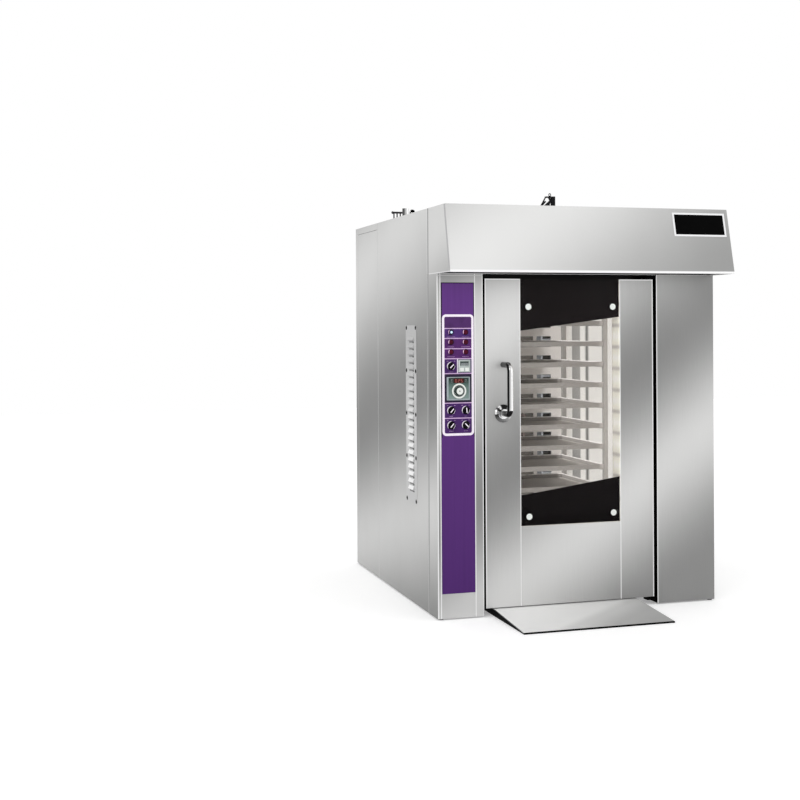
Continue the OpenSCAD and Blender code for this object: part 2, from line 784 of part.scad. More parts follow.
module timer_module() color("lightgray")
    difference() {
        union() {
            square_hole(timer_x, timer_z, timer_w, panel_y - face_t, panel_y);
            square_hole(timer_x, timer_z, timer_w - 8, panel_y, yf + instrument_d);
        }
        // display recess and two key recesses
        slab([timer_x - 0.36 * timer_w, panel_y - face_t - cut, timer_z + 2],
             [timer_x + 0.36 * timer_w, panel_y - face_t + 1, timer_z + 0.36 * timer_w]);
        for (s = [-1, 1])
            slab([timer_x + s * 16 - 11, panel_y - face_t - cut, timer_z - 0.34 * timer_w],
                 [timer_x + s * 16 + 11, panel_y - face_t + 0.6, timer_z - 0.12 * timer_w]);
    }

module temperature_controller() color("slategray")
    difference() {
        union() {
            square_hole(controller_x, controller_z, controller_w, panel_y - face_t, panel_y);
            square_hole(controller_x, controller_z, controller_w - 10, panel_y, yf + instrument_d);
        }
        // display recess above the dial and the bore of the dial's shaft
        slab([controller_x - 45, panel_y - face_t - cut, dial_z + dial_r + 5],
             [controller_x + 45, panel_y - face_t + 1.5, controller_z + controller_w / 2 - 7]);
        rod_y(controller_x, panel_y - face_t - cut, yf + instrument_d - 40, dial_z, spindle_hole_r);
    }

// a selector knob: skirt, tapered body, pointer bar and shaft; its axis is Y
module knob(x, z, turn) {
    y0 = panel_y - eps;
    translate([x, y0, z]) rotate([90, turn, 0]) {
        cylinder(h = 4, r = knob_r);
        translate([0, 0, 4]) cylinder(h = knob_h - 8, r1 = knob_r - 3, r2 = knob_r - 5);
        translate([-3.5, -knob_r + 3, 4]) cube([7, 2 * knob_r - 6, knob_h - 4]);
        translate([0, 0, -30]) cylinder(h = 30, r = knob_shaft_r);
    }
}
module programme_knob() color("black") knob(knob_places[0][0], knob_places[0][1], -45);
module light_switch() color("black") knob(knob_places[1][0], knob_places[1][1], -40);
module steam_switch() color("black") knob(knob_places[2][0], knob_places[2][1], 5);
module fan_switch() color("black") knob(knob_places[3][0], knob_places[3][1], -40);
module heat_switch() color("black") knob(knob_places[4][0], knob_places[4][1], 45);

module temperature_dial() color("white") {
    y0 = panel_y - face_t - eps;
    rod_y(controller_x, y0 - 3, y0, dial_z, dial_r);
    rod_y(controller_x, y0 - 16, y0 - 3, dial_z, 0.45 * dial_r);
    rod_y(controller_x, y0, yf + 30, dial_z, knob_shaft_r);
}

// ---------------------------------------------------------------- ramp and small fittings
ramp_x0 = xl + ramp_at;
ramp_x1 = ramp_x0 + ramp_w;
ramp_z = floor_z - ramp_drop;
ramp_y0 = yf - ramp_run;
ramp_y1 = yf - 10;
module ramp_profile(drop)
    polygon([
        [ramp_y0, ramp_nose_h - drop], [ramp_y1, ramp_z - drop], [face_y, ramp_z - drop],
        [face_y, ramp_z - drop - ramp_t], [ramp_y1, ramp_z - drop - ramp_t],
        [ramp_y0, max(0, ramp_nose_h - drop - ramp_t)]
    ]);

module ramp_plate() color("silver") along_x(ramp_x0, ramp_x1) ramp_profile(0);

module ramp_support() color("black") {
    z_nose = ramp_nose_h - ramp_t;
    for (x = [ramp_x0, axis_x - ramp_t / 2, ramp_x1 - ramp_t])
        along_x(x, x + ramp_t)
            polygon([[ramp_y0, 0], [ramp_y0, z_nose], [ramp_y1, ramp_z - ramp_t],
                     [face_y, ramp_z - ramp_t], [face_y, base_z1],
                     [sill_y, base_z1], [sill_y, 0]]);
    slab([ramp_x0, ramp_y0 - 6, 0], [ramp_x1, ramp_y0, ramp_nose_h]);
}

module strike_plate() color("silver")
    difference() {
        slab([open_x0, door_y0 + 6, handle_z - 60], [open_x0 + 3, door_y0 + 66, handle_z + 60]);
        for (s = [-1, 1]) rod_x(open_x0 - cut, open_x0 + 3 + cut, door_y0 + 36, handle_z + s * 45, 3);
    }

bolt_half = 24;
low_bracket_z1 = door_z0 - collar_t - 3.7;
module pivot_brackets() color("gray")
    for (z = [low_bracket_z1 - bracket_t, door_z1 + collar_t + 3])
        difference() {
            slab([pivot_x - bolt_half, pivot_y - bolt_half, z],
                 [open_x1, pivot_y + bolt_half, z + bracket_t]);
            rod_z(pivot_x, pivot_y, z - cut, z + bracket_t + cut, pivot_r + run_gap);
        }

module chamber_lamps() color("ivory")
    for (x = [chamber_x0, chamber_x1 - 36])
        slab([x, chamber_y0 + sheet_t, floor_z + 300],
             [x + 36, chamber_y0 + sheet_t + 24, ceiling_z - 250]);

module screw_head(p) translate(p) rotate([0, -90, 0]) cylinder(h = 2.5, r = 5);
module casing_screws() color("gray")
    for (k = [0:4], s = [-1, 1])
        screw_head([xl - sheet_t, vent_mid_y + s * (vent_w / 2 - 13),
                    vent_z0 + 14 + k * (vent_h - 28) / 4]);

// ---------------------------------------------------------------- heat, air and steam
module heater_elements() color("darkred") {
    y0 = chamber_y1 + heater_pitch;
    for (k = [0:2])
        translate([axis_x, y0 + k * heater_pitch, fan_z]) rotate([90, 0, 0])
            rotate_extrude() translate([heater_r, 0]) circle(r = heater_tube_r, $fn = 24);
    for (a = [45:90:315])
        rod_y(axis_x + heater_r * cos(a), y0 - 10, heat_y1, fan_z + heater_r * sin(a), 4);
}

fan_y0 = chamber_y1 + fan_gap;
fan_y1 = fan_y0 + fan_l;
fan_plate_t = 8;
module fan_motor() color("dimgray")
    difference() {
        union() {
            square_hole(axis_x, fan_z, fan_plate_w, wool_y1, wool_y1 + fan_plate_t);
            rod_y(axis_x, wool_y1 + fan_plate_t, wool_y1 + fan_plate_t + fan_motor_l, fan_z, fan_motor_r);
            for (k = [0:5])
                rod_y(axis_x, wool_y1 + 24 + k * 18, wool_y1 + 30 + k * 18, fan_z, fan_motor_r + 8);
        }
        rod_y(axis_x, wool_y1 - cut, wool_y1 + 90, fan_z, fan_shaft_r + run_gap);
    }

module fan_impeller() color("silver") {
    rod_y(axis_x, fan_y0 + 10, wool_y1 + 80, fan_z, fan_shaft_r);
    rod_y(axis_x, fan_y1 - 60, fan_y1, fan_z, 45);
    rod_y(axis_x, fan_y1 - 4, fan_y1, fan_z, fan_r);
    for (k = [0:blade_count - 1])
        translate([axis_x, fan_y0, fan_z]) rotate([0, k * 360 / blade_count, 0])
            translate([0.66 * fan_r, 0, -2]) cube([0.34 * fan_r - 1, fan_y1 - fan_y0 - 2, 4]);
    translate([axis_x, fan_y0 + 4, fan_z]) rotate([90, 0, 0])
        rotate_extrude() translate([0.66 * fan_r, 0]) square([0.34 * fan_r, 4]);
}

steam_x = chamber_x1 - steam_inset - steam_w;
steam_side_t = 12;
steam_pitch = 80;
module steam_generator() color("gray") {
    z0 = floor_z + 60;
    z1 = ceiling_z - steam_top_gap;
    for (x = [steam_x, steam_x + steam_w - steam_side_t])
        slab([x, heat_y1 - steam_d, floor_z], [x + steam_side_t, heat_y1, z1]);
    for (z = [z0:steam_pitch:z1 - steam_side_t])
        slab([steam_x + steam_side_t, heat_y1 - steam_d, z],
             [steam_x + steam_w - steam_side_t, heat_y1 - 10, z + 12]);
}

module water_manifold() color("slategray") {
    z = body_h + manifold_rise;
    x0 = manifold_x - manifold_l / 2;
    rod_x(x0, x0 + manifold_l, manifold_y, z, 6);
    translate([x0 + 6, manifold_y, z]) sphere(r = 8);
    for (k = [-1:1]) {
        rod_z(manifold_x + k * riser_pitch, manifold_y, body_h, z, 4);
        rod_z(manifold_x + k * riser_pitch, manifold_y, body_h, body_h + 10, 7);
    }
}

// the flue's runs and the balls at its corners
module flue_runs(r, z_low, z_high) {
    rod_z(pipe_x, flue_y, flue_run_z, z_high, r);
    rod_y(pipe_x, flue_y, leg_y, flue_run_z, r);
    rod_x(pipe_x, flue_x, leg_y, flue_run_z, r);
    rod_z(flue_x, leg_y, z_low, flue_run_z, r);
    for (p = [[pipe_x, flue_y], [pipe_x, leg_y], [flue_x, leg_y]])
        translate([p[0], p[1], flue_run_z]) sphere(r = r);
}

module exhaust_flue() color("gray")
    difference() {
        flue_runs(flue_r, ceiling_z + sheet_t, body_h + flue_rise);
        flue_runs(flue_r - flue_wall, ceiling_z + sheet_t - cut, body_h + flue_rise + cut);
        rod_y(pipe_x, flue_y - flue_r - cut, flue_y + flue_r + cut, damper_z, 3 + run_gap);
    }

module relief_elbow() color("gray") {
    bend = 2 * elbow_r;
    ring_z(pipe_x, elbow_y, body_h, body_h + 10, elbow_r, elbow_r - 3);
    ring_z(pipe_x, elbow_y, body_h, body_h + 3, elbow_r + 10, elbow_r - 3);
    translate([pipe_x, elbow_y - bend, body_h + 10]) rotate([90, 0, 90])
        rotate_extrude(angle = 50) translate([bend, 0]) difference() {
            circle(r = elbow_r);
            circle(r = elbow_r - 3);
        }
}

module exhaust_damper() color("silver") {
    rod_y(pipe_x, flue_y - flue_r - 12, flue_y + flue_r + 4, damper_z, 3);
    translate([pipe_x, flue_y, damper_z]) cylinder(h = 2, r = flue_r - flue_wall - 0.5, center = true);
    slab([pipe_x - 5, flue_y - flue_r - 12, damper_z],
         [pipe_x + 5, flue_y - flue_r - 8, damper_z + damper_lever_l]);
}

// ---------------------------------------------------------------- rack drive
module shaft_bearing() color("dimgray")
    difference() {
        union() {
            slab([axis_x - deck_w / 2, axis_y - beam_off - rail_w / 2, beam_z1],
                 [axis_x + deck_w / 2, axis_y + beam_off + rail_w / 2, deck_z1]);
            rod_z(axis_x, axis_y, deck_z1, bearing_z1, 2.2 * shaft_r);
        }
        rod_z(axis_x, axis_y, beam_z1 - cut, bearing_z1 + cut, shaft_r + run_gap);
    }

groove_d = belt_t;    // depth of the pulleys' grooves
belt_gap = 0.4;       // between the belt and the grooves' floors
module pulley(x, y, r, bore) difference() {
    rod_z(x, y, pulley_z0, pulley_z1, r);
    ring_z(x, y, belt_z - belt_w / 2 - eps, belt_z + belt_w / 2 + eps, r + cut, r - groove_d);
    if (bore > 0) rod_z(x, y, pulley_z0 - cut, pulley_z1 + cut, bore);
}

// outline round both pulleys, d outside their groove floors
function arc(c, r, a0, a1, n) =
    [for (i = [0:n]) let (a = a0 + (a1 - a0) * i / n) c + r * [cos(a), sin(a)]];
function belt_outline(d) =
    let (big = pulley_r - groove_d + d, small = pinion_r - groove_d + d,
         lean = atan2(motor_dy, motor_dx), wrap = acos((big - small) / belt_span))
    concat(arc([axis_x, axis_y], big, lean + wrap, lean + 360 - wrap, 48),
           arc([motor_x, motor_y], small, lean - wrap, lean + wrap, 24));

module drive_belt() color("black")
    translate([0, 0, belt_z - belt_w / 2])
        linear_extrude(belt_w)
            difference() {
                polygon(belt_outline(belt_t + belt_gap));
                polygon(belt_outline(belt_gap));
            }

module motor_pulley() color("dimgray") {
    pulley(motor_x, motor_y, pinion_r, 0);
    rod_z(motor_x, motor_y, pulley_z1, gearbox_z0 + 40, 10);
}

module rack_spindle() color("silver") {
    rod_z(axis_x, axis_y, hanger_z, pulley_z1 + 5, shaft_r);
    pulley(axis_x, axis_y, pulley_r, shaft_r - cut);
    // collar on the bearing, hanger plate and the two hooks
    rod_z(axis_x, axis_y, bearing_z1 + eps, pulley_z0, 1.6 * shaft_r);
    rod_z(axis_x, axis_y, hanger_z, hanger_z + hook_plate_t, 3 * shaft_r);
    for (s = [-1, 1]) {
        x = axis_x + s * hook_x;
        slab([x - 5, axis_y - 30, rack_top_z - 10], [x + 5, axis_y + 30, hanger_z]);
        slab([x - (s > 0 ? 20 : 5), axis_y - 30, rack_top_z - 10],
             [x + (s > 0 ? 5 : 20), axis_y + 30, rack_top_z - 2]);
    }
}

head_z1 = body_h + motor_rise;
head_z0 = head_z1 - motor_head_h;
post_dx = motor_r + motor_post_r - 8;
eye_dx = 15;
// post, top bar and braces of the motor's head, in the post's plane
module motor_head() {
    rod_z(motor_x + post_dx, motor_y, body_h + 4, head_z1, motor_post_r);
    slab([motor_x - eye_dx, motor_y - 10, head_z1 - 8], [motor_x + post_dx, motor_y + 10, head_z1]);
    translate([motor_x, 0, head_z1]) along_y(motor_y - 8, motor_y + 8) {
        polygon([[5, -6], [13, -6], [24, -24], [17, -28]]);
        polygon([[24, -20], [11, -26], [-20, -54], [-20, -62], [14, -62], [12, -46], [24, -30]]);
    }
    // stay from the head to the roof, with its turnbuckle
    translate([motor_x, 0, head_z1]) along_y(motor_y - 5, motor_y + 5) {
        polygon([[-15, -3], [-9, -3], [-88, -motor_rise], [-98, -motor_rise]]);
        polygon([[-38, -50], [-31, -55], [-10, -32], [-17, -27]]);
    }
    rod_z(motor_x + eye_dx, motor_y, head_z1, head_z1 + 3, 7);
    translate([motor_x + eye_dx, motor_y, head_z1 + 10]) rotate([90, 0, 20])
        rotate_extrude() translate([8, 0]) circle(r = 2.5, $fn = 24);
}

module drive_gearmotor() color("black") {
    x1 = motor_x + gearbox_w / 2 + 10;
    difference() {
        union() {
            // bracket: foot on the beams, upright and top plate
            slab([x1, axis_y - beam_off - rail_w / 2, beam_z1],
                 [x1 + 10, axis_y + beam_off + rail_w / 2, gearbox_z0]);
            slab([motor_x - gearbox_w / 2, motor_y - gearbox_w / 2, gearbox_z0 - motor_plate_t],
                 [x1 + 10, motor_y + gearbox_w / 2, gearbox_z0]);
            // gearbox, ribbed motor and its head
            slab([motor_x - gearbox_w / 2, motor_y - gearbox_w / 2, gearbox_z0],
                 [motor_x + gearbox_w / 2, motor_y + gearbox_w / 2, gearbox_z0 + gearbox_h]);
            rod_z(motor_x, motor_y, gearbox_z0 + gearbox_h, head_z0, motor_r);
            for (a = [0:24:336])
                translate([motor_x, motor_y, 0]) rotate([0, 0, a])
                    slab([motor_r - 2, -1.5, body_h + 10], [motor_r + 3, 1.5, head_z0 - 6]);
            motor_head();
        }
        rod_z(motor_x, motor_y, gearbox_z0 - motor_plate_t - cut, gearbox_z0 + 45, 10 + run_gap);
    }
}

// ---------------------------------------------------------------- door
module door_skin() color("silver")
    difference() {
        union() {
            slab([door_x0, door_y0, door_z0], [door_x1, door_y0 + sheet_t, door_z1]);
            for (x = [door_x0, door_x1 - sheet_t])
                slab([x, door_y0, door_z0], [x + sheet_t, door_y1, door_z1]);
        }
        // window notch and the pressed lines that carry the stiles down to the lower edge
        slab([win_x0 - seam_gap / 2, door_y0 - cut, window_sill_z - seam_gap],
             [win_x1 + seam_gap / 2, door_y0 + sheet_t + cut, door_z1 + cut]);
        for (x = [win_x0, win_x1])
            slab([x - seam_gap / 2, door_y0 - cut, door_z0 - cut],
                 [x + seam_gap / 2, door_y0 + sheet_t / 2, window_sill_z]);
        rod_y(handle_x, door_y0 - cut, door_y0 + sheet_t + cut, handle_z, spindle_r + run_gap);
        latch_pocket(1);
    }

bolt_y = door_y0 + door_t / 2;
bolt_x0 = door_x0 - bolt_throw;
// room for the latch bolt and its travel
module latch_pocket(grow)
    slab([door_x0 - grow, bolt_y - bolt_h / 2 - pocket_gap, handle_z - bolt_h / 2 - pocket_gap],
         [bolt_x0 + bolt_l + bolt_throw + 2, bolt_y + bolt_h / 2 + pocket_gap,
          handle_z + bolt_h / 2 + pocket_gap]);

core_y0 = door_y0 + sheet_t;
core_y1 = door_y1 - sheet_t;
glass_y1 = door_y0 + glass_t;
module door_core() color("dimgray")
    difference() {
        slab([door_x0 + sheet_t, core_y0, door_z0], [door_x1 - sheet_t, core_y1, door_z1]);
        // seat of the outer pane and its mask, and the window cavity
        slab([win_x0, core_y0 - cut, window_sill_z], [win_x1, glass_y1 + mask_t, door_z1 + cut]);
        slab([cav_x0, core_y0 - cut, cav_z0], [cav_x1, core_y1 + cut, cav_z1]);
        rod_y(handle_x, core_y0 - cut, door_y0 + 34, handle_z, spindle_r + run_gap);
        latch_pocket(1);
    }

module door_liner() color("gainsboro")
    difference() {
        slab([door_x0 + sheet_t, core_y1, door_z0], [door_x1 - sheet_t, door_y1, door_z1]);
        slab([cav_x0, core_y1 - cut, cav_z0], [cav_x1, door_y1 + cut, cav_z1]);
    }

module window_mask() color("black")
    along_y(glass_y1, glass_y1 + mask_t) {
        a = seam_gap / 2;
        polygon([[win_x0 + a, door_z1 - upper_mask_left_h], [win_x1 - a, door_z1 - upper_mask_right_h],
                 [win_x1 - a, door_z1], [win_x0 + a, door_z1]]);
        polygon([[win_x0 + a, window_sill_z], [win_x1 - a, window_sill_z],
                 [win_x1 - a, window_sill_z + lower_mask_right_h],
                 [win_x0 + a, window_sill_z + lower_mask_left_h]]);
    }

cap_x = [win_x0 + cap_inset, win_x1 - cap_inset];
cap_z = [window_sill_z + cap_sill_rise, door_z1 - cap_top_drop];
stud_r = 6;
module outer_glass() color("lightblue", 0.4)
    difference() {
        slab([win_x0 + seam_gap / 2, door_y0, window_sill_z], [win_x1 - seam_gap / 2, glass_y1, door_z1]);
        for (x = cap_x, z = cap_z) rod_y(x, door_y0 - cut, glass_y1 + cut, z, stud_r);
    }

module inner_glass() color("lightblue", 0.4)
    slab([cav_x0, core_y1 - glass_t, cav_z0], [cav_x1, core_y1, cav_z1]);

module glass_caps() color("white")
    for (x = cap_x, z = cap_z) {
        rod_y(x, door_y0, glass_y1, z, stud_r);
        rod_y(x, door_y0 - 3, door_y0, z, cap_r);
        translate([x, door_y0 - 3, z]) rotate([90, 0, 0])
            cylinder(h = 4, r1 = cap_r, r2 = cap_r - 5);
    }

module door_gasket() color("dimgray") {
    y1 = face_y - eps;
    x0 = ent_x0 - 18 - gasket_w;
    x1 = ent_x1 + 18;
    z1 = ent_z1 + 4;
    for (x = [x0, x1]) slab([x, door_y1, door_z0], [x + gasket_w, y1, z1 + gasket_w]);
    slab([x0, door_y1, z1], [x1 + gasket_w, y1, z1 + gasket_w]);
}

module pivot_pins() color("silver") {
    rod_z(pivot_x, pivot_y, low_bracket_z1 - bracket_t, door_z0, pivot_r);
    rod_z(pivot_x, pivot_y, low_bracket_z1 + eps, door_z0, 2 * pivot_r);
    rod_z(pivot_x, pivot_y, door_z1, door_z1 + collar_t + 3 + bracket_t, pivot_r);
    rod_z(pivot_x, pivot_y, door_z1, door_z1 + collar_t, 2 * pivot_r);
}

module handle_rosette() color("lightgray")
    translate([handle_x, door_y0, handle_z]) rotate([90, 0, 0])
        difference() {
            union() {
                cylinder(h = 0.6 * rosette_t, r = rosette_r);
                translate([0, 0, 0.6 * rosette_t])
                    cylinder(h = 0.4 * rosette_t, r1 = rosette_r, r2 = rosette_r - 6);
            }
            translate([0, 0, -cut]) cylinder(h = rosette_t + 2 * cut, r = spindle_r + run_gap);
        }

// the handle's tube: lower arm, bend, grip, bend and the arm that turns back to the door
module handle_path(r, y_low, y_top) {
    z_low = handle_z + grip_bend_r;
    z_top = grip_z1 - grip_bend_r;
    y_mid = grip_y + grip_bend_r;
    rod_y(handle_x, y_mid, y_low, handle_z, r);
    translate([handle_x, y_mid, z_low]) rotate([0, -90, 0]) rotate([0, 0, 180])
        rotate_extrude(angle = 90) translate([grip_bend_r, 0]) circle(r = r);
    rod_z(handle_x, grip_y, z_low, z_top, r);
    translate([handle_x, y_mid, z_top]) rotate([0, -90, 0]) rotate([0, 0, -90])
        rotate_extrude(angle = 90) translate([grip_bend_r, 0]) circle(r = r);
    rod_y(handle_x, y_mid, y_top, grip_z1, r);
}

module handle_lever() color("gainsboro") {
    y_boss = door_y0 - rosette_t - eps;
    y_end = door_y0 - 4;
    // spindle through the door's face, its boss and the hollow tube
    rod_y(handle_x, y_boss - 14, door_y0 + 32, handle_z, spindle_r);
    rod_y(handle_x, y_boss - 14, y_boss, handle_z, grip_r + 8);
    difference() {
        handle_path(grip_r, y_boss - 10, y_end);
        handle_path(grip_r - handle_wall, y_boss - 14, y_end - handle_wall);
    }
}

module latch_bolt() color("silver")
    translate([0, 0, handle_z - bolt_h / 2])
        linear_extrude(bolt_h)
            polygon([
                [bolt_x0 + bolt_throw, bolt_y - bolt_h / 2], [bolt_x0 + bolt_l, bolt_y - bolt_h / 2],
                [bolt_x0 + bolt_l, bolt_y + bolt_h / 2], [bolt_x0, bolt_y + bolt_h / 2],
                [bolt_x0, bolt_y]
            ]);

// ---------------------------------------------------------------- rack
rx0 = axis_x - rack_w / 2;
rx1 = axis_x + rack_w / 2;
ry0 = axis_y - rack_d / 2;
ry1 = axis_y + rack_d / 2;
axle_z = floor_z + wheel_lift + wheel_r;
wheel_x = rack_w / 2 - 60;
module rack_frame() color("lightgray") {
    // uprights, lower and upper frames, and the hook bar
    for (x = [rx0, rx1 - tube_w], y = [ry0, ry1 - tube_w])
        slab([x, y, rack_low_z], [x + tube_w, y + tube_w, rack_top_z]);
    for (z = [rack_low_z, rack_top_z - tube_w]) {
        for (x = [rx0, rx1 - tube_w]) slab([x, ry0, z], [x + tube_w, ry1, z + tube_w]);
        for (y = [ry0, ry1 - tube_w]) slab([rx0, y, z], [rx1, y + tube_w, z + tube_w]);
    }
    slab([axis_x - hook_x + 6, ry0, rack_top_z - 2], [axis_x + hook_x - 6, ry1, rack_top_z + 8]);
    // tray rails
    for (k = [0:tray_count - 1]) {
        z = tray_z + k * tray_pitch - tray_h;
        slab([rx0 + tube_w, ry0, z - 3], [rx0 + tube_w + 22, ry1, z]);
        slab([rx1 - tube_w - 22, ry0, z - 3], [rx1 - tube_w, ry1, z]);
        slab([rx0 + tube_w - 3, ry0, z - 3], [rx0 + tube_w, ry1, z + 14]);
        slab([rx1 - tube_w, ry0, z - 3], [rx1 - tube_w + 3, ry1, z + 14]);
    }
    // forks and axles of the wheels
    for (sx = [-1, 1], sy = [-1, 1]) {
        x = axis_x + sx * wheel_x;
        y = axis_y + sy * wheel_base / 2;
        for (t = [-1, 1])
            slab([x + t * (wheel_w / 2 + 3) - 2, y - 15, axle_z - 14],
                 [x + t * (wheel_w / 2 + 3) + 2, y + 15, rack_low_z + 4]);
        slab([x - 40, y - 40, rack_low_z], [x + 40, y + 40, rack_low_z + 4]);
        rod_x(x - wheel_w / 2 - 5, x + wheel_w / 2 + 5, y, axle_z, 6);
    }
}

module trays() color("gainsboro")
    for (k = [0:tray_count - 1]) {
        z1 = tray_z + k * tray_pitch;
        difference() {
            slab([rx0 + tube_w + 1, ry0 + 4, z1 - tray_h], [rx1 - tube_w - 1, ry1 - 4, z1]);
            slab([rx0 + tube_w + 1 + tray_t, ry0 + 4 + tray_t, z1 - tray_h + tray_t],
                 [rx1 - tube_w - 1 - tray_t, ry1 - 4 - tray_t, z1 + cut]);
        }
    }

module wheel_pair(y) for (s = [-1, 1]) {
    x = axis_x + s * wheel_x;
    difference() {
        rod_x(x - wheel_w / 2, x + wheel_w / 2, y, axle_z, wheel_r);
        rod_x(x - wheel_w / 2 - cut, x + wheel_w / 2 + cut, y, axle_z, 6 + run_gap);
    }
}
module front_wheels() color("dimgray") wheel_pair(axis_y - wheel_base / 2);
module rear_wheels() color("dimgray") wheel_pair(axis_y + wheel_base / 2);

// ---------------------------------------------------------------- output
main_frame();
chamber_floor();
chamber_shell();
air_panel();
insulation();
control_column();
right_column();
left_front_panel();
left_rear_panel();
right_side_panel();
rear_panel();
roof_panel();
canopy();
nameplate();
vent_strip();
control_panel();
indicator_lamps();
timer_module();
temperature_controller();
relief_elbow();
ramp_plate();
ramp_support();
strike_plate();
pivot_brackets();
chamber_lamps();
casing_screws();
heater_elements();
fan_motor();
steam_generator();
water_manifold();
exhaust_flue();
shaft_bearing();
drive_gearmotor();
drive_belt();
door_skin();
door_core();
door_liner();
window_mask();
outer_glass();
inner_glass();
glass_caps();
door_gasket();
pivot_pins();
handle_rosette();
handle_lever();
latch_bolt();
rack_spindle();
rack_frame();
trays();
front_wheels();
rear_wheels();
motor_pulley();
fan_impeller();
exhaust_damper();
programme_knob();
light_switch();
steam_switch();
fan_switch();
heat_switch();
temperature_dial();
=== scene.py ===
"""Looks of a rotating rack oven: finishes, printed panel, instruments, light and camera.

Every length is in metres, in the frame of the CAD model: X along the front, -Y the front, +Z up.
"""

import logging
import math
from dataclasses import dataclass
from enum import Enum
from typing import Optional, Sequence, Union

import bmesh
import bpy
from mathutils import Matrix, Vector


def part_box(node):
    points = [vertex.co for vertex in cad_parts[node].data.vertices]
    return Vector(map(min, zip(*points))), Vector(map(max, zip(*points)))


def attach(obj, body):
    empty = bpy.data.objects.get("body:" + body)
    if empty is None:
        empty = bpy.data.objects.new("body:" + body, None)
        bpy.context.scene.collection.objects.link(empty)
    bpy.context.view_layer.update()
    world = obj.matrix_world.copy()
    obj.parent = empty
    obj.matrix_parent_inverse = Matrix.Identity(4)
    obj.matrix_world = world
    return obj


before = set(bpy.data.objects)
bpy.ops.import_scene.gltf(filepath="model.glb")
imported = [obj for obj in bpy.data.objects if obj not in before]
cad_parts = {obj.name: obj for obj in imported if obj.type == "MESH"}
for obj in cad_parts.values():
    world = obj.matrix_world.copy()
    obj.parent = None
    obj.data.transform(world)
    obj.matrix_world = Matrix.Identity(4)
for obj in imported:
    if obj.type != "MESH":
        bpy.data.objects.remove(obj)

log = logging.getLogger("oven")
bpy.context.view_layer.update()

Colour = tuple[float, float, float]
Point = tuple[float, float]
Levels = tuple[Point, ...]
Socket = bpy.types.NodeSocket
Value = Union[float, Socket]

PANEL_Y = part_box("control_panel")[0].y  # front of the control panel's overlay
LOOK = "look_"  # keeps these finishes apart from the frame's own slot materials
STEEP = 0.6  # share of a normal along an axis, above which a face looks along it
# Painted shade: the near black given to faces that sit in dark gaps, in place of the shade there.
PAINTED_SHADE_BLACK: Colour = (0.003, 0.003, 0.003)
X, Y, Z = range(3)  # places of the coordinates in a point or a normal


def linear(level: float) -> float:
    """Converts an sRGB level of 0 to 255 to linear light."""
    c = level / 255
    return c / 12.92 if c <= 0.04045 else ((c + 0.055) / 1.055) ** 2.4


def rgb(red: float, green: float, blue: float) -> Colour:
    """Converts three sRGB levels of 0 to 255 to a linear colour."""
    return (linear(red), linear(green), linear(blue))


def grey(level: float) -> Colour:
    """Converts one sRGB level to a neutral linear colour."""
    return (linear(level),) * 3


def greys(levels: Levels, tint: Colour = (1.0, 1.0, 1.0)) -> list[tuple[float, Colour]]:
    """Turns pairs of a value and an sRGB level into the stops of a ramp."""
    return [(at, tuple(linear(level) * share for share in tint)) for at, level in levels]


